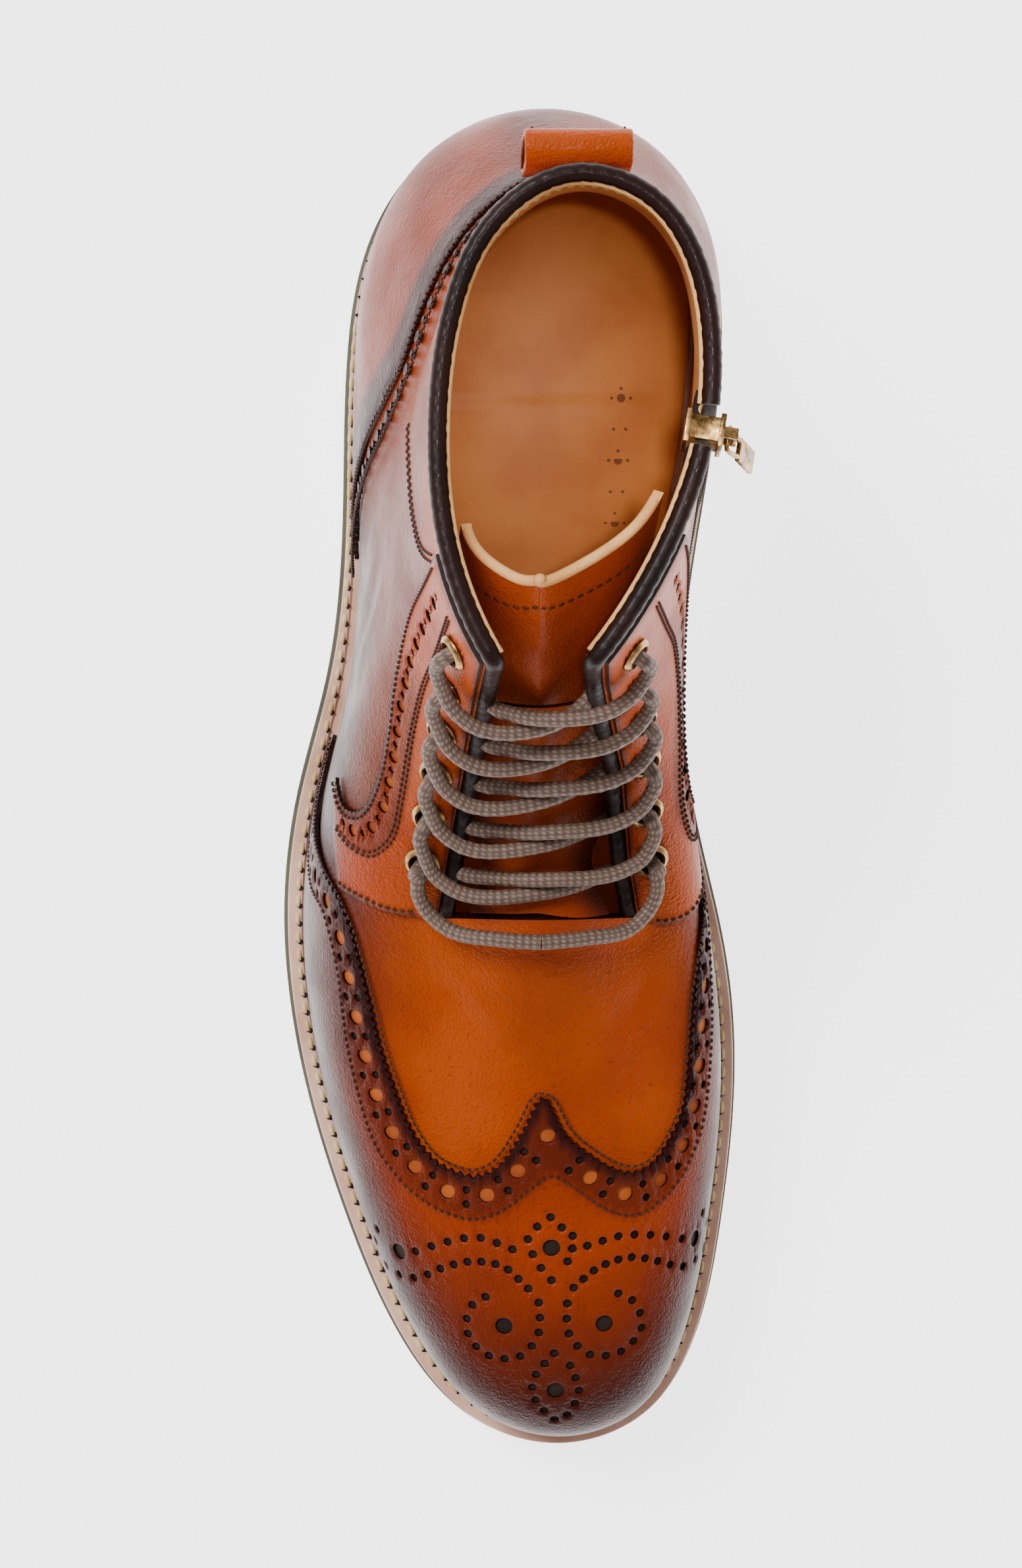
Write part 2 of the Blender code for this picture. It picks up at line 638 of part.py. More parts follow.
def midsole_bottom(along):
    return midsole_top(along) - MIDSOLE_THICK


def build_welt():
    outer = sole_outline(WELT_MARGIN)
    inner = resample(inset(FEATHER, WALL + WELT_INSIDE), OUTLINE_STEPS)
    at = (turn_stations(WELT_STATIONS) * OUTLINE_STEPS).astype(int)

    def wall(loop):
        plan = loop[at]
        heights = [welt_height(plan[:, 0]) - WELT_THICK, welt_height(plan[:, 0])]
        return np.stack([world(np.column_stack([plan, h])) for h in heights], 1)

    return add_wall("welt", wall(outer), wall(inner), plain_finish("welt", WELT_TAN, 0.6), closed=True)


def build_outsole():
    """Outsole: thicker under the forefoot, with slanted grooves from its sides between the lugs."""
    finish = plain_finish("outsole", RUBBER, 0.7)
    sole = add_layer("outsole", 0.0, outsole_top, outsole_bottom, finish, OUTSOLE_STATIONS)
    points, faces = [], []
    start, end = FOREFOOT_START + 1.2 * GROOVE_PITCH, GROOVE_END * SOLE_LENGTH
    for along in np.arange(start, end, GROOVE_PITCH):
        reach = np.array([along - GROOVE_PITCH / 4, along + GROOVE_PITCH / 4])
        low = float(outsole_bottom(reach).max())
        corner = (GROOVE_INNER, -GROOVE_WIDTH / 2, low - GROOVE_PITCH)
        far = (SOLE_WIDTH, GROOVE_WIDTH / 2, low + LUG_DEPTH)
        for side in (-1, 1):
            place = Matrix.Translation(world((along, GROOVE_CENTRE, 0.0)))
            place = place @ Matrix.Rotation(math.radians(-GROOVE_TURN * side), 4, "Z")
            base = len(points)
            points += [place @ Vector((x * side, y, z)) for x, y, z in box_points(corner, far)]
            faces += [tuple(base + i for i in face) for face in BOX_FACES]
    guide = add("sole_grooves", points, faces, plain_finish("sole_grooves", RUBBER))
    return combine(sole, guide, "DIFFERENCE")


def build_heel():
    """Heel block: the sole's back end, straight across at the breast, with grooves under it."""
    top = float(outsole_bottom(np.array([0.0]))[0]) - GAP
    rings = []
    for taper, height in ((0.0, top), (HEEL_TAPER, 0.0)):
        loop = sole_outline(HEEL_MARGIN + taper)
        limit = HEEL_BREAST - taper
        part = np.roll(loop, -int(np.argmax(loop[:, 0])), 0)
        part = part[part[:, 0] < limit]
        part = part[np.linspace(0, len(part) - 1, HEEL_STATIONS).astype(int)]
        part[[0, -1], 0] = limit
        rings.append(np.column_stack([part, np.full(len(part), height)]))
    points = world(np.vstack(rings))
    heel = add("heel", points, drum_faces(len(rings[0])), plain_finish("heel", RUBBER, 0.7))
    points, faces = [], []
    for share in HEEL_GROOVES:
        y = float(world((HEEL_BREAST * share, 0.0, 0.0))[1])
        base = len(points)
        low = (-SOLE_WIDTH, y - HEEL_GROOVE / 2, -GROOVE_PITCH)
        points += box_points(low, (SOLE_WIDTH, y + HEEL_GROOVE / 2, LUG_DEPTH))
        faces += [tuple(base + i for i in face) for face in BOX_FACES]
    guide = add("heel_grooves", points, faces, plain_finish("heel_grooves", RUBBER))
    return combine(heel, guide, "DIFFERENCE")


def build_insole():
    """Insole: lies on the welt's inner edge, inside the upper."""
    loop = resample(inset(FEATHER, WALL + 4 * GAP), OUTLINE_STEPS)
    upper = layer_ring(loop, lambda along: welt_height(along) + GAP + INSOLE_THICK, INSOLE_STATIONS)
    lower = layer_ring(loop, lambda along: welt_height(along) + GAP, INSOLE_STATIONS)
    return add_plate("insole", upper, lower, plain_finish("insole", TAN, 0.6))


# Upper and its openings
def throat_guide():
    """Straight-sided cut between the two facings, seen from above."""
    front = THROAT[-1][0]
    outer = [(share, edge) for share, edge, _ in THROAT[:-1]]
    inner = [(share, edge) for share, _, edge in THROAT[:-1]]
    outer += [(front - THROAT_ROUND, THROAT[-1][1]), (front, THROAT[-1][1] + THROAT_NOTCH)]
    inner += [(front - THROAT_ROUND, THROAT[-1][2]), (front, THROAT[-1][2] - THROAT_NOTCH)]
    plan = [(x * SOLE_WIDTH / 2, SOLE_LENGTH / 2 - s * SOLE_LENGTH) for s, x in outer + inner[::-1]]
    low, high = FEATHER_BALL + 10 * WALL, COLLAR_FRONT + 10 * WALL
    return add_prism("throat_cut", plan, low, high, plain_finish("throat_cut", DARK))


def zip_turn(level, distance=0.0):
    level = np.asarray(level, float)
    return shift(table_at(ZIP, level), level, distance)


def zip_strip(name, width, low, high, levels, finish, lift=0.0):
    """A strip that follows the zip line, carried lift higher than the collar where asked."""
    levels = np.asarray(levels, float)
    edges = np.stack([zip_turn(levels, -width / 2), zip_turn(levels, width / 2)], 0)
    grids = [skin(edges, levels[None, :], out) for out in (high, low)]
    if lift:
        for grid in grids:
            grid[:, -1, 2] += lift
    return add_wall(name, grids[0], grids[1], finish)


def eyelet_places():
    rows = range(1, EYELET_COUNT + 1)
    for side, label in ((1, "lateral"), (-1, "medial")):
        for row in rows:
            level = lacing_level(np.array([row]))
            turn = shift(facing_edge(level, side), level, EYELET_INSET * side)
            yield f"eyelet_{label}_{row}", frame_on(float(turn[0]), float(level[0]))


def eyelet_guide(name):
    """All the eyelet holes, as one set of round cutters."""
    points, faces = [], []
    angles = 2 * math.pi * np.arange(EYELET_SIDES) / EYELET_SIDES
    radius = EYELET_BARREL + GAP
    for _, place in eyelet_places():
        faces += drum_faces(EYELET_SIDES, len(points))
        for height in (-WALL - CUT_REACH, FACE + CUT_REACH):
            points += [place @ Vector((radius * math.cos(a), radius * math.sin(a), height)) for a in angles]
    return add(name, points, faces, plain_finish(name, BRASS))


def build_upper(holes):
    grid = np.meshgrid(turn_stations(UPPER_COLUMNS), UPPER_LEVELS, indexing="ij")
    finish = plain_finish("upper", BROWN, 0.35)
    upper = add_wall("upper", skin(*grid, 0.0), skin(*grid, -WALL), finish, closed=True)
    combine(upper, throat_guide(), "DIFFERENCE")
    levels = np.linspace(ZIP[0][0], 1, 9)
    finish = plain_finish("zip_cut", DARK)
    slot = zip_strip("zip_cut", ZIP_SLOT, -WALL - CUT_REACH, CUT_REACH, levels, finish, lift=0.01)
    combine(upper, slot, "DIFFERENCE")
    return combine(upper, holes, "DIFFERENCE")


def strip_grid(low, high, across):
    """Turn and level grids of a panel whose rows run from low to high."""
    share = np.linspace(0, 1, across)
    return low[:, None] + (high - low)[:, None] * share


def build_wing_cap():
    """Winged toe cap: from the welt up to the wing's edge, and back along both sides."""
    peak = max(WING, key=lambda row: row[1])[0]
    tip, front = WING_TIPS
    curled = np.linspace(-front, front, 31)[1:-1]
    turns = np.concatenate([np.linspace(-tip, -front, 4), curled, np.linspace(front, tip, 4)])
    turns[np.argmin(abs(turns - peak))] = peak
    level = strip_grid(np.zeros(len(turns)), table_at(WING, turns), 7)
    return add_overlay("wing_cap", turns[:, None] + 0 * level, level, plain_finish("wing_cap", DARK, 0.35))


def build_counter():
    """Heel counter: round the back, highest on the seam."""
    turns = np.linspace(COUNTER[0][0] + EDGE_MARGIN, COUNTER[-1][0] - EDGE_MARGIN, 17)
    level = strip_grid(np.zeros(len(turns)), table_at(COUNTER, turns), 7)
    finish = plain_finish("heel_counter", DARK, 0.35)
    return add_overlay("heel_counter", turns[:, None] + 0 * level, level, finish)


def build_eyestay(side, label, holes):
    """Eyestay: from the facing's edge back to its pointed line, and down to the wing."""
    low = np.linspace(EYESTAY_FOOT, THROAT_CORNER, 5)[:-1]
    levels = np.concatenate([low, np.linspace(THROAT_CORNER, 1 - EDGE_MARGIN, 9)])
    front = shift(facing_edge(levels, side), levels, 2 * GAP * side)
    swing = np.clip((levels - EYESTAY_FOOT) / (THROAT_CORNER - EYESTAY_FOOT), 0, 1)
    front = front * swing + EYESTAY_FRONT * side * (1 - swing)
    back = side * table_at(EYESTAY_BACK, levels, 1 if side > 0 else 2)
    turn = strip_grid(front, back, 6)
    name = "eyestay_" + label
    stay = add_overlay(name, turn, levels[:, None] + 0 * turn, plain_finish(name, BROWN, 0.35))
    return combine(stay, holes, "DIFFERENCE")


def build_eyelets():
    face = FACE + EYELET_SEAT
    outline = ((EYELET_BORE, -WALL), (EYELET_BARREL, -WALL), (EYELET_BARREL, face), (EYELET_FLANGE, face),
               (EYELET_BORE, face + EYELET_RIM))
    for name, place in eyelet_places():
        add_turned(name, outline, place, EYELET_SIDES, plain_finish(name, BRASS, 0.35, 1.0))


def build_tongue():
    """Tongue: rises out of the vamp, passes under the facings and leans back into the shaft."""
    rows = np.array(TONGUE)
    share = np.linspace(-1, 1, 11)
    grids = []
    for extra in (0.0, TONGUE_THICK):
        grid = []
        for middle, side, spread, deep, lean in rows:
            level = middle + (side - middle) * abs(share) ** 1.6
            row = skin(share * spread + TONGUE_SHIFT, level, -TONGUE_DEPTH * deep)
            row -= outward(share * spread * TONGUE_CALM + TONGUE_SHIFT, level) * extra
            row[:, 1] += TONGUE_LEAN * lean * np.cos(share * math.pi / 2)
            grid.append(row)
        grids.append(np.array(grid))
    return add_wall("tongue", grids[0], grids[1], plain_finish("tongue", BROWN, 0.4))


def beside_facing(levels, side, distance):
    """Points beside the cut edge of a facing, at half the depth of its wall."""
    edge = facing_edge(levels, side)
    rim, normal = skin(edge, levels), outward(edge, levels)
    run = np.gradient(rim, axis=0)
    across = np.column_stack([-run[:, 1], run[:, 0], np.zeros(len(run))])
    across *= np.sign(across[:, :1]) * side / np.linalg.norm(across, axis=1)[:, None]
    within = normal - across * (normal * across).sum(1)[:, None]
    share = np.linalg.norm(within, axis=1)[:, None]
    return rim - within / share**2 * WALL / 2 + across * distance


def build_binding():
    """Rolled binding: over the collar's edge from the zip to each facing, and down the facing."""
    seat = BINDING_RADIUS + GAP
    zip_gap = ZIP_SLOT / 2
    back = float(zip_turn(np.array([1.0]), -zip_gap)[0])
    front = float(zip_turn(np.array([1.0]), zip_gap)[0])
    levels = np.linspace(0.985, THROAT_CORNER + 3 * EDGE_MARGIN, 9)
    for side, label, start in ((1, "lateral", back), (-1, "medial", front - 1)):
        tip = float(facing_edge(np.array([1.0]), side)[0])
        round_collar = np.linspace(start, tip, 34 if side > 0 else 15)
        path = list(skin(round_collar, 1.0, -WALL / 2) + [0, 0, seat])
        corner = skin(np.array([tip]), np.array([1.0]), -WALL / 2)[0]
        toward = path[-1] - path[-2]
        toward /= np.linalg.norm(toward)
        path.append(corner + (toward + np.array([0, 0, 1.0])) * seat / math.sqrt(2))
        path += list(beside_facing(levels, side, seat + GAP))
        name = "binding_" + label
        add_tube(name, path, BINDING_RADIUS, 5, plain_finish(name, DARK, 0.25))


def smooth_path(points, count):
    """Evenly read points of a smooth curve through a few hand-set ones."""
    points = np.asarray(points, float)
    run = np.concatenate([[0], np.cumsum(np.linalg.norm(np.diff(points, axis=0), axis=1))])
    slope = np.gradient(points, run, axis=0)
    at = np.linspace(0, run[-1], count)
    i = np.clip(np.searchsorted(run, at, side="right") - 1, 0, len(run) - 2)
    h = (run[i + 1] - run[i])[:, None]
    t = ((at - run[i]) / (run[i + 1] - run[i]))[:, None]
    return ((2 * t**3 - 3 * t**2 + 1) * points[i] + (t**3 - 2 * t**2 + t) * h * slope[i]
            + (3 * t**2 - 2 * t**3) * points[i + 1] + (t**3 - t**2) * h * slope[i + 1])


# Lacing, place across and row up the facings, with height as a share of the lace on the facing
STRAND = (
    (-1.00, 0.00, 1.0), (-1.05, -0.30, 1.0), (-0.90, -0.52, 1.0), (-0.68, -0.60, 1.0),
    (-0.45, -0.62, 1.0), (0.00, -0.70, 0.8), (0.24, -0.72, 0.2),
)
RETURN = (
    (1.00, 0.00, 1.0), (1.05, -0.24, 1.0), (0.88, -0.38, 1.0), (0.66, -0.33, 1.0),
    (0.45, -0.26, 1.0), (0.05, -0.32, 0.85), (-0.34, -0.60, 0.62),
)
BAR = (
    (-1.00, 1.00), (-1.07, 0.80), (-0.95, 0.62), (-0.72, 0.56), (-0.45, 0.54), (-0.20, 0.50),
    (0.00, 0.48), (0.20, 0.50), (0.45, 0.54), (0.72, 0.56), (0.95, 0.62), (1.07, 0.80), (1.00, 1.00),
)


def build_laces():
    over = FACE + EYELET_SEAT + EYELET_RIM + GAP + LACE_RADIUS
    route = np.array(BAR)
    path = smooth_path(lacing_point(route[:, 0], route[:, 1], over, BAR_ARCH), 15)
    add_tube("lace_1", path, LACE_RADIUS, LACE_SIDES, plain_finish("lace_1", CORD, 0.6))
    for row in range(2, EYELET_COUNT + 1):
        strands = []
        for table, name in ((STRAND, f"lace_{row}"), (RETURN, f"lace_{row}_return")):
            route = np.array(table)
            height = over * route[:, 2] - LACE_DIP * (1 - route[:, 2])
            arch = LACE_ARCH + (BAR_ARCH - LACE_ARCH) / row
            path = smooth_path(lacing_point(route[:, 0], row + route[:, 1], height, arch), 9)
            strands.append(add_tube(name, path, LACE_RADIUS, LACE_SIDES, plain_finish(name, CORD, 0.6)))
        combine(strands[0], strands[1], "UNION")


def build_loop():
    """Pull loop: a folded strip behind the collar, sewn at its foot and open across."""
    wall = skin(LOOP_TURN, np.linspace(*LOOP_LEVELS, 5))
    y, z = wall[:, 1] + LOOP_SEAT + LOOP_THICK / 2, wall[:, 2]
    radius = (LOOP_DEPTH - LOOP_THICK) / 2
    angles = np.radians((45, 90, 135))
    fold = list(zip(y[-1] + radius * (1 - np.cos(angles)), z[-1] + radius * np.sin(angles)))
    back = y[-1] + 2 * radius
    outer = [(back, z[-1]), (back, (z[-1] + z[0]) / 2), (y[1] + 1.2 * radius, z[0] + LOOP_DEPTH / 2)]
    centre = np.array(list(zip(y, z)) + fold + outer)
    ahead = np.roll(centre, -1, 0) - np.roll(centre, 1, 0)
    ahead /= np.linalg.norm(ahead, axis=1)[:, None]
    side = np.stack([ahead[:, 1], -ahead[:, 0]], 1) * LOOP_THICK / 2
    ends = LOOP_ACROSS - LOOP_WIDTH / 2, LOOP_ACROSS + LOOP_WIDTH / 2

    def band(line):
        return np.stack([np.column_stack([np.full(len(line), x), line]) for x in ends], 1)

    finish = plain_finish("pull_loop", BROWN, 0.4)
    return add_wall("pull_loop", band(centre - side), band(centre + side), finish, closed=True)


# Side zip
def local_add(name, place, low, high, finish):
    """A box between two corners in the axes of place."""
    return add(name, [place @ Vector(p) for p in box_points(low, high)], BOX_FACES, finish)


def build_zip():
    """Zip: tape and teeth under the slot in the upper, and the slider that stands at their top."""
    under = -WALL - GAP
    levels = np.linspace(ZIP[0][0] - ZIP_FOOT, ZIP_END, 12)
    finish = plain_finish("zip_tape", BLACK, 0.8)
    zip_strip("zip_tape", ZIP_TAPE_WIDTH, under - ZIP_TAPE_THICK, under, levels, finish)
    levels = np.linspace(ZIP[0][0] + ZIP_FOOT, ZIP_END, 12)
    finish = plain_finish("zip_teeth", BRASS, 0.4, 1.0)
    zip_strip("zip_teeth", ZIP_TEETH_WIDTH, -WALL, -WALL + ZIP_TEETH_THICK, levels, finish)
    slant = (ZIP[-1][1] - ZIP[-2][1]) / (ZIP[-1][0] - ZIP[-2][0])
    place = frame_on(float(zip_turn(np.array([SLIDER_LEVEL]))[0]), SLIDER_LEVEL, slant)
    low, high = SLIDER_RISE - SLIDER_LENGTH / 2, SLIDER_RISE + SLIDER_LENGTH / 2
    front = FACE + SLIDER_PLATE
    back = under - ZIP_TAPE_THICK - 3 * GAP - SLIDER_PLATE
    half, post, neck = SLIDER_WIDTH / 2, ZIP_TEETH_WIDTH / 2, CROWN_WIDTH / 2
    foot, head = SLIDER_RISE - CROWN_LENGTH / 2, SLIDER_RISE + CROWN_LENGTH / 2
    top = front + CROWN_HEIGHT + CROWN_THICK
    within = SLIDER_PLATE / 2
    parts = (
        ("slider_back", (-half, low, back), (half, high, back + SLIDER_PLATE)),
        ("slider_post", (-post, low + JOIN, back + within), (post, high - JOIN, front - within)),
        ("crown_low", (-neck, foot, front - JOIN), (neck, foot + CROWN_THICK, top)),
        ("crown_high", (-neck, head - CROWN_THICK, front - JOIN), (neck, head, top)),
        ("crown_top", (JOIN - neck, foot + JOIN, top - CROWN_THICK),
         (neck - JOIN, head - JOIN, top - JOIN)),
    )
    finish = plain_finish("zip_slider", BRASS, 0.35, 1.0)
    slider = local_add("zip_slider", place, (-half, low, FACE), (half, high, front), finish)
    for name, near, far in parts:
        combine(slider, local_add(name, place, near, far, finish), "UNION")
    hinge_up = foot + CROWN_THICK + 2 * PULL_WIRE + GAP
    build_pull(place @ Matrix.Translation((0, hinge_up, front + CROWN_HEIGHT / 2)))


def build_pull(hinge):
    """Zip pull: a wire frame hung on the slider's crown, and its tab. It swings about hinge's X axis."""
    swing = hinge @ Matrix.Rotation(math.radians(-PULL_REST_ANGLE), 4, "X")
    reach = CROWN_WIDTH / 2 + 2 * GAP + PULL_WIRE
    half = [(PULL_NECK / 2, -PULL_ARM), (reach, -PULL_SHOULDER)]
    half += [(reach, -PULL_WIRE), (reach - PULL_WIRE, 0)]
    wire = [(-x, y, 0) for x, y in half] + [(x, y, 0) for x, y in half[::-1]]
    finish = plain_finish("zip_pull", BRASS, 0.35, 1.0)
    pull = add_tube("zip_pull", [swing @ Vector(p) for p in wire], PULL_WIRE, 6, finish)
    near = (-PULL_PLATE_WIDTH / 2, PULL_JOIN - PULL_ARM - PULL_PLATE_LENGTH, JOIN / 2 - PULL_WIRE)
    far = (PULL_PLATE_WIDTH / 2, PULL_JOIN - PULL_ARM, PULL_WIRE - JOIN / 2)
    combine(pull, local_add("pull_tab", swing, near, far, finish), "UNION")
    pin = bpy.data.objects.new("pull_hinge", None)
    bpy.context.scene.collection.objects.link(pin)
    pin.matrix_world = hinge
    pull.parent = pin
    pull.matrix_parent_inverse = hinge.inverted()


for item in list(bpy.data.objects):
    bpy.data.objects.remove(item)

build_outsole()
build_heel()
add_layer("midsole", MIDSOLE_MARGIN, midsole_top, midsole_bottom, plain_finish("midsole", RUBBER, 0.7))
build_welt()
build_insole()
eyelet_holes = eyelet_guide("eyelet_holes")
build_upper(eyelet_holes)
build_wing_cap()
build_counter()
build_eyestay(1, "lateral", eyelet_holes)
build_eyestay(-1, "medial", eyelet_holes)
build_tongue()
build_binding()
build_eyelets()
build_laces()
build_loop()
build_zip()
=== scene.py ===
# %% [markdown]
# # A right brogue boot, dressed over its solids
#
# The real boot is welted: an upper of thin cognac calf is pulled over a last, a leather welt is sewn
# round its foot, and a rubber sole is stitched to the welt. Everything you see on the upper (wing
# cap, counter, facings, zip) is a flat piece of leather laid on that one curved form.
# So the lesson starts with the form as a function. Each piece is then cut from a flat drawing in two
# numbers, turn and level, and laid on the form. That is close to how a shoemaker works, and it keeps
# every piece, stitch and hole seated on the leather below it.

# %% Load the solids that the looks are built around
import math

import bmesh
import bpy
import numpy as np
from mathutils import Matrix, Vector
from mathutils.geometry import delaunay_2d_cdt
from mathutils.kdtree import KDTree

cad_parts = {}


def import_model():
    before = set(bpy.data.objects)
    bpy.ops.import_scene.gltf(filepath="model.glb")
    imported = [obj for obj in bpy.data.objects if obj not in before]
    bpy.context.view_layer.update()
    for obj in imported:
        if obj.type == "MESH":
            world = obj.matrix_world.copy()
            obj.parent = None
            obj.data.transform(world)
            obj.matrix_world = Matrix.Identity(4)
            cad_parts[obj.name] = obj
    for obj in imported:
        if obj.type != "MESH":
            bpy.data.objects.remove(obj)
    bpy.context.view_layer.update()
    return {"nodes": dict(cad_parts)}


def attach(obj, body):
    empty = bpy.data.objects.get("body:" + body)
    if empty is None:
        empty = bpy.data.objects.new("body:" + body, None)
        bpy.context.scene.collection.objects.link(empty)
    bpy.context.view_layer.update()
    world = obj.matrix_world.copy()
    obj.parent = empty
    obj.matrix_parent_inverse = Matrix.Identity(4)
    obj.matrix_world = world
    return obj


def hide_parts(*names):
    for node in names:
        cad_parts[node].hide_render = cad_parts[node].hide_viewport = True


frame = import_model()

# %% [markdown]
# ## The camera and the light
#
# The photograph is a studio shot from almost straight above, toe at the bottom, on white. A long lens
# far away keeps the sole and the collar in nearly the same scale, which is why a 135 mm lens at about
# 1.4 m is used. The frame is 1552 by 2380 pixels, taller than wide, and Blender measures the sensor
# along the longer side. The camera leans by two small angles, read from how the collar stands over
# the sole. The light is that of a glowing white table: the floor shines, and the room is soft and
# dimmer straight above, where the camera hangs. Glossy leather then mirrors white on its steep sides
# and keeps its deep colour on top.

# %% Camera, room and lamps
CAMERA_TARGET = Vector((0.0, 0.0, 0.018))
CAMERA_DISTANCE = 1.382
CAMERA_LEAN_ACROSS = math.radians(-1.5)
CAMERA_LEAN_ALONG = math.radians(2.0)
CAMERA_LENS = 135.0
SENSOR = 36.0

scene = bpy.context.scene


def link(item):
    scene.collection.objects.link(item)
    return item


toward_camera = Vector((math.tan(CAMERA_LEAN_ACROSS), math.tan(CAMERA_LEAN_ALONG), 1.0)).normalized()
camera = link(bpy.data.objects.new("camera", bpy.data.cameras.new("camera")))
camera.data.lens = CAMERA_LENS
camera.data.sensor_width = SENSOR
camera.data.clip_end = 20.0
camera.location = CAMERA_TARGET + toward_camera * CAMERA_DISTANCE
ahead = -toward_camera
across_view = ahead.cross(Vector((0, 1, 0))).normalized()
above_view = across_view.cross(ahead)
camera.rotation_euler = Matrix((across_view, above_view, toward_camera)).transposed().to_euler()
scene.camera = camera

HORIZON_LIGHT = 0.75
ZENITH_LIGHT = 0.45
ZENITH_START = 0.35
ZENITH_END = 0.95

room = bpy.data.worlds.new("white_room")
room.use_nodes = True
nodes, links = room.node_tree.nodes, room.node_tree.links
direction = nodes.new("ShaderNodeTexCoord")
parts = nodes.new("ShaderNodeSeparateXYZ")
fall = nodes.new("ShaderNodeMapRange")
fall.interpolation_type = "SMOOTHSTEP"
for socket, number in (("From Min", ZENITH_START), ("From Max", ZENITH_END), ("To Min", HORIZON_LIGHT),
                       ("To Max", ZENITH_LIGHT)):
    fall.inputs[socket].default_value = number
links.new(direction.outputs["Generated"], parts.inputs["Vector"])
links.new(parts.outputs["Z"], fall.inputs["Value"])
links.new(fall.outputs["Result"], nodes["Background"].inputs["Strength"])
nodes["Background"].inputs["Color"].default_value = (1.0, 1.0, 1.0, 1.0)
scene.world = room

SUN_LIGHT = 3.3
SUN_SPREAD = 22
SUN_LEAN_ALONG = -24
SUN_LEAN_ACROSS = -26
sun = link(bpy.data.objects.new("soft_sun", bpy.data.lights.new("soft_sun", "SUN")))
sun.data.energy = SUN_LIGHT
sun.data.angle = math.radians(SUN_SPREAD)
sun.rotation_euler = (math.radians(SUN_LEAN_ALONG), math.radians(SUN_LEAN_ACROSS), 0)
# A narrow lamp above the opening carries light down to the insole, as the studio's top light does.
SHAFT_MIDDLE = (0.012, 0.080)
LAMP_HEIGHT = 1.25
LAMP_POWER = 40.0
LAMP_CONE = 5.6
LAMP_RADIUS = 0.03
lamp = link(bpy.data.objects.new("shaft_lamp", bpy.data.lights.new("shaft_lamp", "SPOT")))
lamp.data.energy = LAMP_POWER
lamp.data.spot_size = math.radians(LAMP_CONE)
lamp.data.spot_blend = 0.7
lamp.data.shadow_soft_size = LAMP_RADIUS
lamp.location = (*SHAFT_MIDDLE, LAMP_HEIGHT)
print("camera at", [round(c, 3) for c in camera.location])

# %% [markdown]
# ## The form of the boot
#
# A last has no simple formula, but a shoemaker controls it with a few drawings: the outline of the
# sole, the line of the collar, and how each side rises from one to the other. The same three drawings
# make a surface here. turn runs once round the foot (0 at the toe, 0.25 on the outer side, 0.5 at the
# back of the heel, 0.75 on the inner side) and level climbs from 0 at the welt to 1 at the collar.
# NumPy works out thousands of points at a time, which plain Python loops would be too slow for.

# %% Sizes of the boot, in metres
SOLE_LENGTH = 0.312
SOLE_WIDTH = 0.107
HEEL_LIFT = 0.0185
TOE_SPRING = 0.0080
COLLAR_BACK = 0.154
COLLAR_FRONT = 0.161
COLLAR_DIP = 0.003
GAP = 0.0003
LAYER_GAP = 0.0005
WALL = 0.0028
OVERLAY_GAP = 0.0003
OVERLAY = 0.0012
FACE = OVERLAY_GAP + OVERLAY
WELT_THICK = 0.0032
WELT_TOE = 0.0065
WELT_HEEL = 0.0045
WELT_INSIDE = 0.0050
WELT_MARGIN = 0.0010
MIDSOLE_THICK = 0.0040
MIDSOLE_MARGIN = 0.0006
OUTSOLE_THICK = 0.0047
LUG_DEPTH = 0.0025
INSOLE_THICK = 0.0030
FEATHER_BALL = WELT_THICK + MIDSOLE_THICK + OUTSOLE_THICK + LUG_DEPTH + 2 * LAYER_GAP
OUTLINE_STEPS = 720
THREAD = 0.00032

# Sole outline, from the toe tip round the outer side: share of the length, share of the half width
OUTLINE = (
    (1.000, 0.20), (0.978, -0.20), (0.920, -0.49), (0.830, -0.725), (0.740, -0.89), (0.650, -0.985),
    (0.593, -1.00), (0.506, -0.94), (0.417, -0.81), (0.298, -0.74), (0.180, -0.72), (0.090, -0.615),
    (0.032, -0.38), (0.000, 0.115), (0.032, 0.63), (0.090, 0.85), (0.180, 0.905), (0.300, 0.82),
    (0.417, 0.75), (0.529, 0.82), (0.625, 0.945), (0.712, 0.99), (0.830, 0.93), (0.920, 0.81),
    (0.971, 0.63),
)
# Collar edge in plan: turn, share of the length, share of the half width
COLLAR = (
    (0.00, 0.431, 0.071), (0.05, 0.426, -0.03), (0.10, 0.411, -0.125), (0.15, 0.386, -0.215),
    (0.20, 0.354, -0.295), (0.25, 0.316, -0.355), (0.31, 0.265, -0.385), (0.37, 0.210, -0.375),
    (0.42, 0.158, -0.32), (0.46, 0.110, -0.20), (0.495, 0.077, 0.00), (0.53, 0.066, 0.24),
    (0.57, 0.085, 0.52), (0.61, 0.128, 0.69), (0.66, 0.190, 0.755), (0.71, 0.247, 0.73),
    (0.76, 0.300, 0.635), (0.81, 0.342, 0.52), (0.86, 0.377, 0.395), (0.91, 0.405, 0.27),
    (0.955, 0.423, 0.165),
)
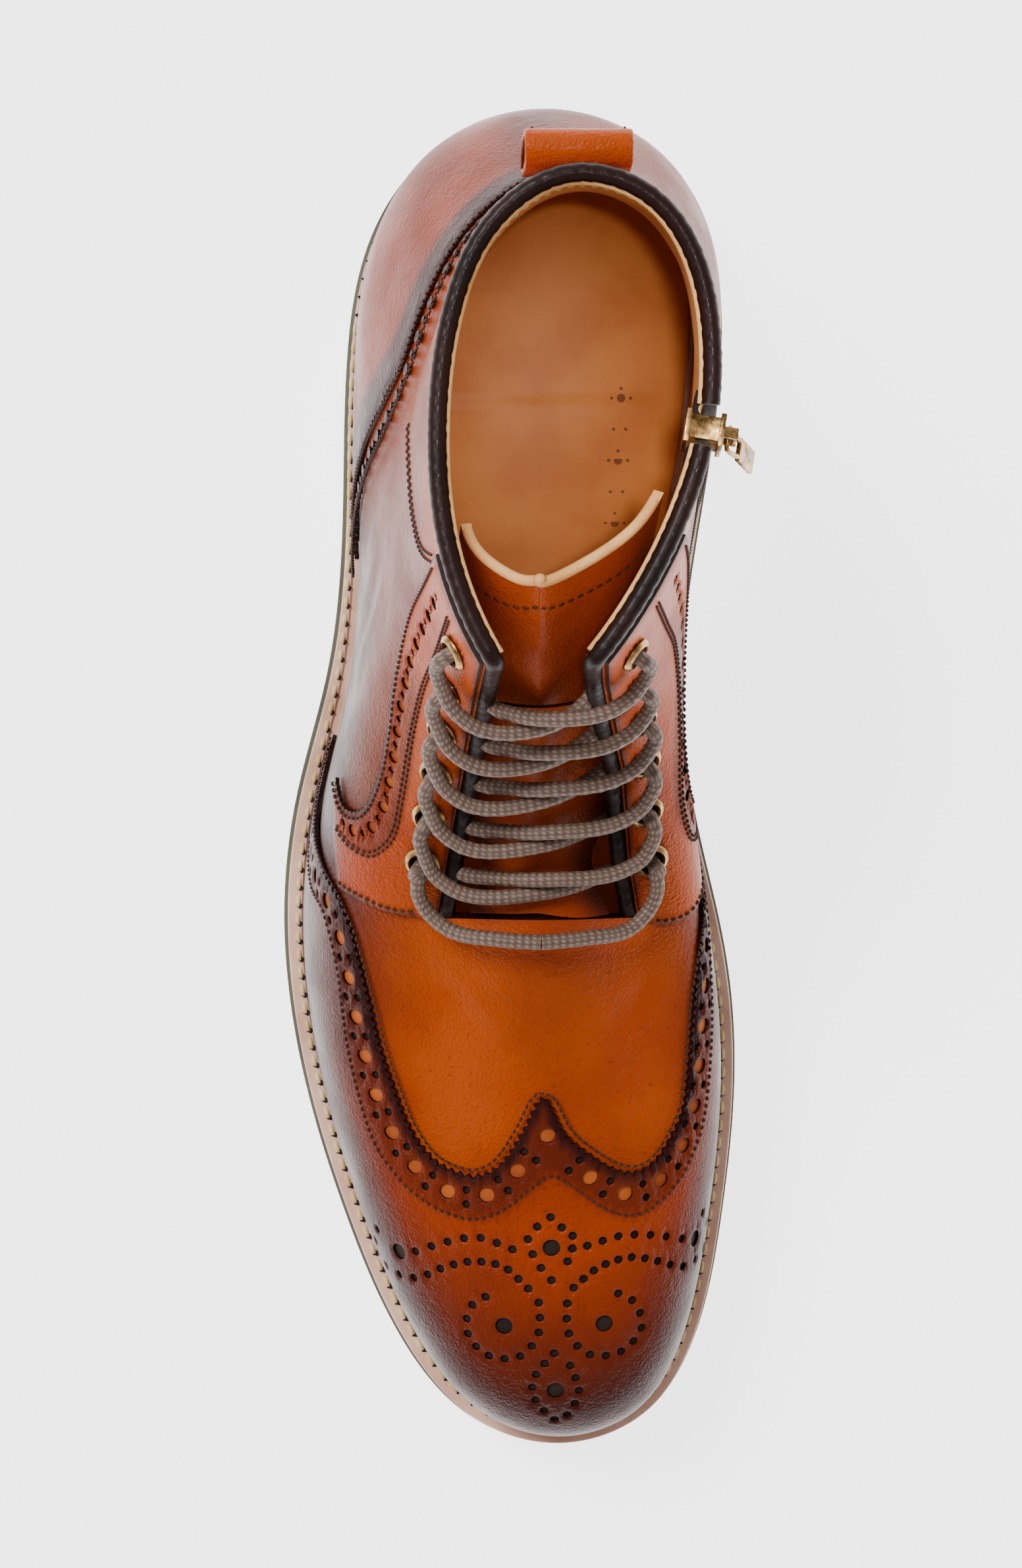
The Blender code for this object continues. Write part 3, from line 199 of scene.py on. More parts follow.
# How each side rises, from toe (turn 0) to heel (turn 0.5): five pairs of share inward, share upward
PROFILES = (
    (0.00, (-0.010, 0.07), (-0.006, 0.20), (0.27, 0.27), (0.71, 0.40), (0.94, 0.68)),
    (0.07, (-0.012, 0.07), (0.00, 0.205), (0.26, 0.28), (0.70, 0.42), (0.93, 0.70)),
    (0.14, (-0.015, 0.075), (0.00, 0.22), (0.25, 0.34), (0.66, 0.51), (0.91, 0.755)),
    (0.22, (-0.025, 0.08), (0.01, 0.235), (0.26, 0.42), (0.62, 0.60), (0.88, 0.80)),
    (0.30, (-0.05, 0.09), (-0.02, 0.25), (0.20, 0.46), (0.62, 0.66), (0.90, 0.845)),
    (0.37, (-0.07, 0.10), (-0.10, 0.27), (0.32, 0.48), (0.82, 0.67), (1.00, 0.85)),
    (0.43, (-0.10, 0.11), (-0.14, 0.27), (0.38, 0.465), (1.00, 0.66), (1.08, 0.84)),
    (0.50, (-0.10, 0.12), (-0.20, 0.26), (0.40, 0.46), (1.12, 0.66), (1.12, 0.84)),
)
print("sole", SOLE_LENGTH, "by", SOLE_WIDTH, "m")

# %% Curves through the drawings
def ease(x):
    x = np.clip(x, 0, 1)
    return x * x * (3 - 2 * x)


def spline(knots, values, period, at):
    """Smooth closed curve through values at knots that repeats after period."""
    knots = np.asarray(knots, float)
    values = np.asarray(values, float).reshape(len(knots), -1)
    n = len(knots)
    gap = np.diff(np.append(knots, knots[0] + period))
    rise = (np.roll(values, -1, 0) - values) / gap[:, None]
    system = np.zeros((n, n))
    for i in range(n):
        system[i, i - 1] += gap[i - 1]
        system[i, i] += 2 * (gap[i - 1] + gap[i])
        system[i, (i + 1) % n] += gap[i]
    bend = np.linalg.solve(system, 6 * (rise - np.roll(rise, 1, 0)))
    at = (np.asarray(at, float) - knots[0]) % period + knots[0]
    i = np.clip(np.searchsorted(knots, at, side="right") - 1, 0, n - 1)
    j = (i + 1) % n
    h = gap[i][:, None]
    b = ((at - knots[i]) / gap[i])[:, None]
    a = 1 - b
    return a * values[i] + b * values[j] + ((a**3 - a) * bend[i] + (b**3 - b) * bend[j]) * h * h / 6


def table_at(table, at, column=1):
    """A column of a short table, read between its rows along the first column."""
    rows = np.array(table, float)
    return np.interp(at, rows[:, 0], rows[:, column])


def run_along(points):
    """Length from the start of a line to each of its points."""
    return np.concatenate([[0], np.cumsum(np.linalg.norm(np.diff(points, axis=0), axis=1))])


def read_at(at, run, points):
    """The columns of points, read at lengths between those in run."""
    return np.stack([np.interp(at, run, column) for column in points.T], 1)


def resample(points, count):
    """count points evenly spaced round a closed line, from its first point."""
    closed = np.vstack([points, points[:1]])
    run = run_along(closed)
    return read_at(np.arange(count) / count * run[-1], run, closed)


def inset(loop, distance):
    """The closed plan line moved inward by distance."""
    ahead = np.roll(loop, -1, 0) - np.roll(loop, 1, 0)
    ahead /= np.linalg.norm(ahead, axis=1)[:, None]
    inward = np.stack([-ahead[:, 1], ahead[:, 0]], 1)
    if ((loop.mean(0) - loop) * inward).sum() < 0:
        inward = -inward
    return loop + inward * np.reshape(distance, (-1, 1))


def sole_outline():
    """(along from the heel, across) round the sole, toe tip first, outer side first."""
    knots = np.array(OUTLINE) * [SOLE_LENGTH, SOLE_WIDTH / 2]
    closed = np.vstack([knots, knots[:1]])
    run = run_along(closed)
    dense = spline(run[:-1], knots, run[-1], np.linspace(0, run[-1], 2000, endpoint=False))
    low, high = dense.min(0), dense.max(0)
    dense = (dense - low) / (high - low) * [SOLE_LENGTH, SOLE_WIDTH] - [0, SOLE_WIDTH / 2]
    return resample(np.roll(dense, -np.argmax(dense[:, 0]), 0), OUTLINE_STEPS)


def smooth_path(points, count):
    """Evenly read points of a smooth curve through a few given ones."""
    points = np.asarray(points, float)
    run = run_along(points)
    slope = np.gradient(points, run, axis=0)
    at = np.linspace(0, run[-1], count)
    i = np.clip(np.searchsorted(run, at, side="right") - 1, 0, len(run) - 2)
    h = (run[i + 1] - run[i])[:, None]
    t = ((at - run[i]) / (run[i + 1] - run[i]))[:, None]
    return ((2 * t**3 - 3 * t**2 + 1) * points[i] + (t**3 - 2 * t**2 + t) * h * slope[i]
            + (3 * t**2 - 2 * t**3) * points[i + 1] + (t**3 - t**2) * h * slope[i + 1])


# %% The surface of the upper
def welt_margin(along):
    """How far the upper stands in from the edge of the sole."""
    return WELT_HEEL + (WELT_TOE - WELT_HEEL) * ease((along / SOLE_LENGTH - 0.25) / 0.3)


def welt_height(along):
    """Height of the welt's top: heel lift, arch and toe spring."""
    share = np.asarray(along) / SOLE_LENGTH
    lift = HEEL_LIFT * (1 - ease((share - 0.20) / 0.37))
    spring = TOE_SPRING * np.clip((share - 0.70) / 0.30, 0, 1) ** 1.8
    return FEATHER_BALL + lift + spring


EDGE = sole_outline()
FEATHER = resample(inset(EDGE, welt_margin(EDGE[:, 0])), OUTLINE_STEPS)


def feather(turn):
    """Foot of the upper, where it meets the welt."""
    at = (turn % 1) * OUTLINE_STEPS
    closed = np.vstack([FEATHER, FEATHER[:1]])
    plan = read_at(at, np.arange(OUTLINE_STEPS + 1), closed)
    return np.column_stack([plan, welt_height(plan[:, 0]) + GAP])


def collar(turn):
    table = np.array(COLLAR)
    plan = spline(table[:, 0], table[:, 1:], 1.0, turn % 1) * [SOLE_LENGTH, SOLE_WIDTH / 2]
    share = np.clip((plan[:, 0] / SOLE_LENGTH - 0.07) / 0.36, 0, 1)
    height = COLLAR_BACK + (COLLAR_FRONT - COLLAR_BACK) * share - COLLAR_DIP * np.sin(np.pi * share)
    return np.column_stack([plan, height])


def profile(turn):
    """Control points of the side profile at each turn."""
    rows = [(r[0], np.ravel(r[1:])) for r in PROFILES]
    knots = [r[0] for r in rows] + [1 - r[0] for r in rows[-2:0:-1]]
    values = [r[1] for r in rows] + [r[1] for r in rows[-2:0:-1]]
    return spline(knots, values, 1.0, turn).reshape(-1, 5, 2)


def curve_weights(count, level, degree=3):
    """Weights of count control points at each level of a clamped B-spline."""
    level = np.clip(level, 0, 1 - 1e-12)
    knots = np.concatenate([np.zeros(degree), np.linspace(0, 1, count - degree + 1), np.ones(degree)])
    weights = ((level[:, None] >= knots[None, :-1]) & (level[:, None] < knots[None, 1:])).astype(float)
    for d in range(1, degree + 1):
        raised = np.zeros((len(level), len(knots) - 1 - d))
        for i in range(raised.shape[1]):
            if knots[i + d] > knots[i]:
                raised[:, i] += (level - knots[i]) / (knots[i + d] - knots[i]) * weights[:, i]
            if knots[i + d + 1] > knots[i + 1]:
                share = (knots[i + d + 1] - level) / (knots[i + d + 1] - knots[i + 1])
                raised[:, i] += share * weights[:, i + 1]
        weights = raised
    return weights


def surface(turn, level):
    """Points (along, across, up) of the upper's outside."""
    turn, level = np.broadcast_arrays(np.asarray(turn, float), np.asarray(level, float))
    shape = turn.shape
    turn, level = turn.ravel(), level.ravel()
    low, top, inner = feather(turn), collar(turn), profile(turn)
    ends = np.zeros((len(turn), 1)), np.ones((len(turn), 1))
    weights = curve_weights(7, level)
    inward = (weights * np.hstack([ends[0], inner[:, :, 0], ends[1]])).sum(1)
    upward = (weights * np.hstack([ends[0], inner[:, :, 1], ends[1]])).sum(1)
    plan = low[:, :2] + (top[:, :2] - low[:, :2]) * inward[:, None]
    up = low[:, 2] + (top[:, 2] - low[:, 2]) * upward
    return np.column_stack([plan, up]).reshape(*shape, 3)


def world(points):
    """Along, across and up, turned into X (inner side), Y (heel) and Z (up)."""
    points = np.asarray(points, float)
    return np.stack([points[..., 1], SOLE_LENGTH / 2 - points[..., 0], points[..., 2]], -1)


def outward(turn, level):
    """Unit normals of the upper, level at the welt and at the collar so that edges sit flat."""
    step = 1e-3
    level = np.asarray(level, float)
    round_foot = surface(turn + step, level) - surface(turn - step, level)
    up_foot = surface(turn, np.minimum(level + step, 1)) - surface(turn, np.maximum(level - step, 0))
    normal = np.cross(up_foot, round_foot)
    normal[..., 2] *= ease(level / 0.06) * ease((1 - level) / 0.04)
    normal /= np.linalg.norm(normal, axis=-1, keepdims=True)
    return np.stack([normal[..., 1], -normal[..., 0], normal[..., 2]], -1)


sample = world(surface(np.array([0.0, 0.25, 0.5, 0.75]), 0.5))
print("half-way up at toe, outer side, heel, inner side:", sample.round(3).tolist())

# %% [markdown]
# ## Soft creases
#
# Leather that has been pulled over a last and carried about has a few shallow waves: across the vamp where
# the toes bend, behind the ankle, and beside the zip. They could be simulated, but a last holds this leather
# tight, so a simulation would give random wrinkles. Each crease here is a line on the boot, given with a
# width and a depth in real size: a soft trough with a low ridge on both sides. Every piece takes its place
# from the same function, so overlays bend with the leather.

# %% Creases as troughs with ridges
# Start and end on the boot (turn, level), then half width and depth in metres
CREASES = (
    (0.030, 0.640, 0.105, 0.615, 0.0026, 0.00042),
    (0.965, 0.650, 0.905, 0.612, 0.0024, 0.00036),
    (0.985, 0.600, 0.945, 0.585, 0.0014, 0.00024),
    (0.015, 0.668, 0.070, 0.660, 0.0022, 0.00026),
    (0.300, 0.300, 0.315, 0.560, 0.0034, 0.00048),
    (0.335, 0.250, 0.345, 0.500, 0.0028, 0.00036),
    (0.275, 0.250, 0.262, 0.460, 0.0030, 0.00030),
    (0.455, 0.815, 0.385, 0.770, 0.0034, 0.00050),
    (0.440, 0.760, 0.350, 0.700, 0.0030, 0.00036),
    (0.550, 0.815, 0.600, 0.780, 0.0034, 0.00046),
    (0.765, 0.620, 0.745, 0.300, 0.0034, 0.00044),
    (0.790, 0.520, 0.775, 0.300, 0.0026, 0.00030),
    (0.640, 0.640, 0.650, 0.360, 0.0032, 0.00034),
)
CREASE_STEPS = 14


def crease_lines():
    """World points of each crease, bowed a little so that none is ruler straight."""
    share = np.linspace(0, 1, CREASE_STEPS)
    for number, (turn_a, level_a, turn_b, level_b, width, depth) in enumerate(CREASES):
        bow = 0.010 * math.cos(2.1 * number) * np.sin(np.pi * share)
        turn = turn_a + (turn_b - turn_a) * share + bow
        level = level_a + (level_b - level_a) * share + bow
        yield world(surface(turn, level)), width, depth


CREASE_LINES = list(crease_lines())


def crease_depth(points):
    """How far each world point is pressed in (below zero) or lifted by the creases."""
    total = np.zeros(len(points))
    for line, width, depth in CREASE_LINES:
        middle, reach = line.mean(0), np.ptp(line, axis=0).max() / 2 + 4 * width
        near = np.flatnonzero((abs(points - middle) < reach + 2 * width).all(1))
        if not len(near):
            continue
        offset = points[near][:, None] - line[None]
        away = np.linalg.norm(offset, axis=2)
        nearest = away.argmin(1)
        fade = np.sin(np.pi * (nearest + 0.5) / CREASE_STEPS) ** 0.7
        distance = away.min(1) / width
        trough = np.exp(-distance**2)
        ridge = 0.45 * np.exp(-((distance - 1.9) ** 2) / 0.6)
        total[near] += depth * fade * (ridge - trough)
    return total


def skin(turn, level, out=0.0):
    """World points at a distance out from the upper's creased outside."""
    turn, level, out = np.broadcast_arrays(np.asarray(turn, float), np.asarray(level, float), out)
    points = world(surface(turn, level))
    pressed = crease_depth(points.reshape(-1, 3)).reshape(turn.shape)
    return points + outward(turn, level) * (out + pressed)[..., None]


print("creases:", len(CREASE_LINES))

# %% [markdown]
# ## Finding places on the leather
#
# The photograph gives places as flat lines on a curved boot, so three small tools are needed. One
# moves a point a real distance over the leather, one turns a place in plan into turn and level, and
# one resamples a line at a fixed pitch, as a sewing machine does. All three use the slope of the
# surface, which is found by stepping a little in each direction.

# %% Moves, pitches and places
SLOPE_STEP = 1e-3


def slopes(turn, level):
    """World vectors that one turn and one level cover at each point."""
    low = np.maximum(level - SLOPE_STEP, 0)
    high = np.minimum(level + SLOPE_STEP, 1)
    per_turn = world(surface(turn + SLOPE_STEP, level)) - world(surface(turn - SLOPE_STEP, level))
    per_level = world(surface(turn, high)) - world(surface(turn, low))
    return per_turn / (2 * SLOPE_STEP), per_level / (high - low)[..., None]


def slide(turn, level, move):
    """Turn and level after a small world move along the leather."""
    per_turn, per_level = slopes(turn, level)
    a = (per_turn * per_turn).sum(-1)
    b = (per_turn * per_level).sum(-1)
    c = (per_level * per_level).sum(-1)
    p = (per_turn * move).sum(-1)
    q = (per_level * move).sum(-1)
    size = np.maximum(a * c - b * b, 1e-12)
    return turn + (c * p - b * q) / size, level + (a * q - b * p) / size


def offset_line(line, distance):
    """A line of (turn, level) moved sideways over the leather: plus is to the left of its run."""
    turn, level = np.array(line, float).T
    run = np.gradient(skin(turn, level), axis=0)
    run /= np.linalg.norm(run, axis=1)[:, None]
    sideways = np.cross(outward(turn, level), run)
    turn, level = slide(turn, level, sideways * np.reshape(distance, (-1, 1)))
    return np.column_stack([turn, np.clip(level, 0, 1)])


def pace(line, pitch):
    """Points of a (turn, level) line at an even real pitch, on a smooth curve through its points."""
    line = np.array(line, float)
    if len(line) < 60:
        line = smooth_path(line * [1.0, 1 / 4], 12 * len(line)) * [1.0, 4.0]
    run = run_along(world(surface(*line.T)))
    count = max(int(round(run[-1] / pitch)), 1)
    return read_at(np.linspace(0, run[-1], count + 1), run, line)


def plan_place(along, across):
    """(turn, level) of points on the front of the boot given in plan."""
    target = world(np.column_stack([along, across, np.zeros(len(along))]))
    turn = np.full(len(along), 0.001)
    level = np.interp(along, (0.20, SOLE_LENGTH), (0.75, 0.15))
    for _ in range(25):
        move = target - world(surface(turn, level))
        move[:, 2] = 0
        per_turn, per_level = slopes(turn, level)
        size = per_turn[:, 0] * per_level[:, 1] - per_turn[:, 1] * per_level[:, 0]
        step_turn = (move[:, 0] * per_level[:, 1] - move[:, 1] * per_level[:, 0]) / size
        step_level = (per_turn[:, 0] * move[:, 1] - per_turn[:, 1] * move[:, 0]) / size
        turn = turn + 0.7 * np.clip(step_turn, -0.05, 0.05)
        level = np.clip(level + 0.7 * np.clip(step_level, -0.1, 0.1), 0.05, 0.95)
    return np.column_stack([turn, level])


def gimp(line, pitch, depth):
    """A line cut into small teeth, as the gimping shears leave it."""
    even = pace(line, pitch / 2)
    teeth = np.where(np.arange(len(even)) % 2 == 0, depth / 2, -depth / 2)
    teeth[[0, -1]] = 0
    return offset_line(even, teeth)


def shift(turn, level, distance, steps=6):
    """The turn that lies distance further round the foot at the same level."""
    turn = np.asarray(turn, float)
    for _ in range(steps):
        ahead = surface(turn + SLOPE_STEP, level) - surface(turn - SLOPE_STEP, level)
        rate = np.linalg.norm(ahead, axis=-1) / (2 * SLOPE_STEP)
        turn = turn + distance / steps / rate
    return turn


peak_place = plan_place(np.array([0.2602]), np.array([0.0081]))
print("middle of the toe medallion is at turn and level", peak_place.round(3).tolist())

# %% [markdown]
# ## Leather, cord, rubber and brass
#
# The leather is waxed and burnished: the colour goes from cognac to dark burgundy near edges and at the toe,
# and the gloss lies on top of it as a clear layer. That is what the coat of the Principled shader is for. A
# colour gradient has to follow the shoe, so each vertex stores a number for its burnish and painted shade,
# and the shader reads it. On the vamp, quarters and cap that number is partly burnish and partly painted
# shade, which darkens their sides. Grain comes from cells and noise in the bump, small enough to be invisible
# as shape. Mottling is broad noise that shifts both the colour and the roughness.

# %% One recipe for all finishes
def colour_of(red, green, blue):
    """A colour given in 0 to 255, as the linear values that a shader wants."""
    return tuple(((c / 255 + 0.055) / 1.055) ** 2.4 if c > 10 else c / 3295 for c in (red, green, blue))


class Finish:
    """A material that is built from short lines: colours mixed by a mask, and bump."""

    def __init__(self, name, roughness=0.5, metallic=0.0, coat=0.0, coat_roughness=0.15):
        self.material = bpy.data.materials.new(name)
        self.material.use_nodes = True
        self.tree = self.material.node_tree
        self.shader = self.tree.nodes["Principled BSDF"]
        self.shader.inputs["Roughness"].default_value = roughness
        self.shader.inputs["Metallic"].default_value = metallic
        self.shader.inputs["Coat Weight"].default_value = coat
        self.shader.inputs["Coat Roughness"].default_value = coat_roughness
        self.place = self.tree.nodes.new("ShaderNodeTexCoord").outputs["Object"]
        self.heights = []

    def noise(self, scale, detail=3.0):
        """Soft noise from 0 to 1 with patches of 1 / scale metres."""
        node = self.tree.nodes.new("ShaderNodeTexNoise")
        node.inputs["Scale"].default_value = scale
        node.inputs["Detail"].default_value = detail
        self.tree.links.new(self.place, node.inputs["Vector"])
        return node.outputs["Fac"]

    def cells(self, scale):
        node = self.tree.nodes.new("ShaderNodeTexVoronoi")
        node.inputs["Scale"].default_value = scale
        self.tree.links.new(self.place, node.inputs["Vector"])
        return node.outputs["Distance"]

    def attribute(self, name):
        node = self.tree.nodes.new("ShaderNodeAttribute")
        node.attribute_name = name
        return node.outputs["Fac"]

    def bands(self, value, low, high, out_low=0.0, out_high=1.0):
        """value stretched so that low to high becomes out_low to out_high."""
        node = self.tree.nodes.new("ShaderNodeMapRange")
        node.interpolation_type = "SMOOTHSTEP"
        self.tree.links.new(value, node.inputs["Value"])
        for socket, number in (("From Min", low), ("From Max", high), ("To Min", out_low),
                               ("To Max", out_high)):
            node.inputs[socket].default_value = number
        return node.outputs["Result"]

    def mix(self, mask, first, second):
        """Colour from first to second as mask goes from 0 to 1."""
        node = self.tree.nodes.new("ShaderNodeMix")
        node.data_type = "RGBA"
        self.tree.links.new(mask, node.inputs["Factor"])
        for socket, value in ((6, first), (7, second)):
            if isinstance(value, tuple):
                node.inputs[socket].default_value = (*value, 1.0)
            else:
                self.tree.links.new(value, node.inputs[socket])
        return node.outputs[2]

    def colour(self, value):
        if isinstance(value, tuple):
            self.shader.inputs["Base Color"].default_value = (*value, 1.0)
        else:
            self.tree.links.new(value, self.shader.inputs["Base Color"])

    def rough(self, value):
        self.tree.links.new(value, self.shader.inputs["Roughness"])

    def bump(self, height, depth, strength=0.6):
        """Adds a bump layer on those before it; depth is in metres."""
        node = self.tree.nodes.new("ShaderNodeBump")
        node.inputs["Strength"].default_value = strength
        node.inputs["Distance"].default_value = depth
        self.tree.links.new(height, node.inputs["Height"])
        if self.heights:
            self.tree.links.new(self.heights[-1], node.inputs["Normal"])
        self.heights.append(node.outputs["Normal"])
        self.tree.links.new(node.outputs["Normal"], self.shader.inputs["Normal"])


def waxed_leather(name, plain, dark, deepest, coat=0.06):
    """Aniline leather: plain colour, darker by the burnish and painted side shade of each point and by broad
    mottling.
    """
    finish = Finish(name, coat=coat, coat_roughness=0.2)
    finish.shader.inputs["Specular IOR Level"].default_value = 0.07
    mottled = finish.mix(finish.bands(finish.noise(38.0, 5.0), 0.35, 0.68), plain, dark)
    # Burnish and painted shade: the stored number darkens the colour, on the sides of the vamp, quarters and
    # cap as painted shade.
    shaded_burnish_colour = finish.mix(finish.attribute("burnish_and_shade"), mottled, deepest)
    flecks = finish.bands(finish.noise(900.0, 2.0), 0.60, 0.78, 0.0, 0.35)
    finish.colour(finish.mix(flecks, shaded_burnish_colour, deepest))
    finish.rough(finish.bands(finish.noise(75.0), 0.3, 0.7, 0.30, 0.44))
    finish.bump(finish.cells(1500.0), 0.0003, 0.6)
    finish.bump(finish.noise(520.0, 4.0), 0.0005, 0.55)
    return finish.material


def plain_stuff(name, shade, darker, roughness, grain, depth, coat=0.0, patch=60.0, specular=0.3):
    """A stuff of one colour with soft patches and a grain of 1 / grain metres."""
    finish = Finish(name, roughness, coat=coat)
    finish.shader.inputs["Specular IOR Level"].default_value = specular
    finish.colour(finish.mix(finish.bands(finish.noise(patch, 4.0), 0.35, 0.7), shade, darker))
    finish.bump(finish.noise(grain, 4.0), depth, 0.6)
    return finish.material


COGNAC = colour_of(168, 66, 8)
COGNAC_DARK = colour_of(150, 52, 5)
BURGUNDY = colour_of(50, 13, 9)
vamp_leather = waxed_leather("vamp_leather", COGNAC, COGNAC_DARK, BURGUNDY)
cap_leather = waxed_leather("cap_leather", colour_of(154, 52, 6), colour_of(132, 42, 6), colour_of(42, 11, 9))
binding_leather = plain_stuff("binding_leather", colour_of(34, 14, 10), colour_of(22, 10, 8), 0.45, 900.0,
                              0.0002, coat=0.05, specular=0.12)
lining_leather = plain_stuff("lining_leather", colour_of(222, 152, 86), colour_of(204, 132, 68), 0.6, 1400.0,
                             0.00012)
insole_leather = plain_stuff("insole_leather", colour_of(208, 124, 56), colour_of(192, 108, 44), 0.55, 1700.0,
                             0.00014)
cream_edge = plain_stuff("cream_edge", colour_of(236, 180, 116), colour_of(206, 146, 84), 0.8, 2500.0, 0.0004)
welt_leather = plain_stuff("welt_leather", colour_of(232, 186, 162), colour_of(206, 156, 134), 0.6, 1500.0,
                           0.0002)
rubber = plain_stuff("rubber", colour_of(84, 80, 64), colour_of(70, 66, 52), 0.75, 1300.0, 0.00015)
thread = plain_stuff("thread", colour_of(58, 25, 16), colour_of(42, 18, 12), 0.7, 3000.0, 0.0002)
cream_thread = plain_stuff("cream_thread", colour_of(236, 206, 150), colour_of(206, 168, 108), 0.7, 3000.0,
                           0.0002)
hole_shade = plain_stuff("hole_shade", colour_of(40, 26, 20), colour_of(28, 18, 14), 0.9, 2000.0, 0.0002)
dot_shade = plain_stuff("dot_shade", colour_of(128, 76, 38), colour_of(110, 62, 30), 0.8, 2000.0, 0.0001)
hole_orange = plain_stuff("hole_orange", colour_of(182, 88, 24), colour_of(140, 58, 16), 0.8, 2000.0, 0.0002)
zip_cloth = plain_stuff("zip_cloth", colour_of(42, 32, 27), colour_of(30, 23, 20), 0.9, 2600.0, 0.0004)

brass_finish = Finish("antique_brass", 0.32, metallic=1.0)
brass_finish.colour(brass_finish.mix(brass_finish.bands(brass_finish.noise(380.0, 5.0), 0.35, 0.7),
                                     colour_of(186, 146, 92), colour_of(104, 76, 44)))
brass_finish.rough(brass_finish.bands(brass_finish.noise(700.0), 0.3, 0.7, 0.24, 0.45))
brass_finish.bump(brass_finish.noise(1500.0), 0.00012, 0.4)
brass = brass_finish.material

cord_finish = Finish("waxed_cord", 0.62)
cord_finish.colour(cord_finish.mix(cord_finish.attribute("fleck"), colour_of(82, 62, 52),
                                   colour_of(150, 122, 104)))
cord_finish.bump(cord_finish.noise(3500.0), 0.0002, 0.4)
waxed_cord = cord_finish.material
print("finishes:", len(bpy.data.materials))

# %% [markdown]
# ## One tool for every piece of leather
#
# A pattern cutter draws a flat outline, punches holes in it and lays it on the last. The panel tool
# does that. It fills the outline with small triangles by Delaunay triangulation, which takes any
# outline and any number of holes, lifts the top to the height of the leather, and adds the underside
# and the cut edges. A regular grid with a Boolean would leave ragged slivers at every small hole.
# The top sinks a little at cut edges and swells round a punched hole, since a punch pushes leather up.

# %% Panels of leather
GRID_TURN = 0.0030
GRID_LEVEL = 0.0115
EDGE_STEP = 0.0012
HOLE_SIDES = 14
HOLE_LIP = 1.45
HOLE_DEPTH = 0.0009
STITCH_PITCH = 0.0017
FLAT_SCALE = np.array([0.75, 0.20])


def spot(turn, level, radius, sides=HOLE_SIDES):
    """Ring of (turn, level) points round a place at a real radius."""
    turn, level = np.full(sides, float(turn)), np.full(sides, float(level))
    angle = 2 * np.pi * np.arange(sides) / sides
    per_turn, _ = slopes(turn, level)
    first = per_turn / np.linalg.norm(per_turn, axis=1)[:, None]
    second = np.cross(outward(turn, level), first)
    move = radius * (np.cos(angle)[:, None] * first + np.sin(angle)[:, None] * second)
    return np.column_stack(slide(turn, level, move))


def inside(points, loops):
    """Whether each point lies inside an odd number of closed loops."""
    odd = np.zeros(len(points), bool)
    for loop in loops:
        near = np.flatnonzero((points[:, 1] > loop[:, 1].min()) & (points[:, 1] < loop[:, 1].max())
                              & (points[:, 0] < loop[:, 0].max()))
        for start, end in zip(loop, np.roll(loop, -1, 0)):
            if start[1] == end[1]:
                continue
            x, y = points[near].T
            crosses = (start[1] > y) != (end[1] > y)
            at = start[0] + (y - start[1]) / (end[1] - start[1]) * (end[0] - start[0])
            odd[near] ^= crosses & (x < at)
    return odd


def away_from(points, marks):
    """Distance from each world point to the nearest mark."""
    tree = KDTree(len(marks))
    for number, mark in enumerate(marks):
        tree.insert(mark, number)
    tree.balance()
    return np.array([tree.find(point)[2] for point in points])


def close_up(line):
    """World points of a (turn, level) line."""
    return world(surface(line[:, 0], line[:, 1]))


def make(name, points, faces, stuffs, kinds=None, sharp=40.0, numbers=None):
    """An object from points and faces, with materials by face and numbers by point."""
    mesh = bpy.data.meshes.new(name)
    mesh.from_pydata(np.asarray(points, float).tolist(), [], faces)
    for stuff in stuffs:
        mesh.materials.append(stuff)
    if kinds is not None:
        mesh.polygons.foreach_set("material_index", np.asarray(kinds, np.int32))
    for label, values in (numbers or {}).items():
        mesh.attributes.new(label, "FLOAT", "POINT").data.foreach_set("value", np.asarray(values, np.float32))
    shape = bmesh.new()
    shape.from_mesh(mesh)
    bmesh.ops.recalc_face_normals(shape, faces=shape.faces)
    shape.to_mesh(mesh)
    shape.free()
    mesh.shade_smooth()
    mesh.set_sharp_from_angle(angle=math.radians(sharp))
    return link(bpy.data.objects.new(name, mesh))


def triangulate(outline, rings, lips, spacing=1.0):
    """Triangles that fill an outline round its holes, as flat points and corner numbers."""
    edges, start = [], 0
    for loop in [outline] + rings:
        edges += [(start + i, start + (i + 1) % len(loop)) for i in range(len(loop))]
        start += len(loop)
    border = np.vstack([outline] + rings)
    low, high = outline.min(0), outline.max(0)
    columns = np.arange(low[0], high[0], GRID_TURN * spacing)
    rows = np.arange(low[1], high[1], GRID_LEVEL * spacing)
    grid = np.stack(np.meshgrid(columns, rows, indexing="ij"), -1)
    grid[:, ::2, 0] += GRID_TURN * spacing / 2
    grid = grid.reshape(-1, 2)
    if lips:
        lip_points = np.vstack(lips)
        keep = inside(lip_points, [outline] + rings)
        keep &= away_from(close_up(lip_points), close_up(border)) > 0.00035
        lip_points = lip_points[keep]
        border_world = np.vstack([close_up(border), close_up(lip_points)])
    else:
        lip_points = np.zeros((0, 2))
        border_world = close_up(border)
    grid = grid[inside(grid, [outline] + rings)]
    grid = grid[away_from(close_up(grid), border_world) > 0.0008 * spacing]
    points = np.vstack([border, lip_points, grid])
    flat = [Vector(p) for p in (points * FLAT_SCALE).tolist()]
    verts, _, triangles, _, _, _ = delaunay_2d_cdt(flat, edges, [], 0, 1e-8)
    points = np.array([v[:] for v in verts]) / FLAT_SCALE
    triangles = np.array(triangles)
    middles = points[triangles].mean(1)
    triangles = triangles[inside(middles, [outline] + rings)]
    used = np.unique(triangles)
    number = np.zeros(len(points), int)
    number[used] = np.arange(len(used))
    return points[used], number[triangles]


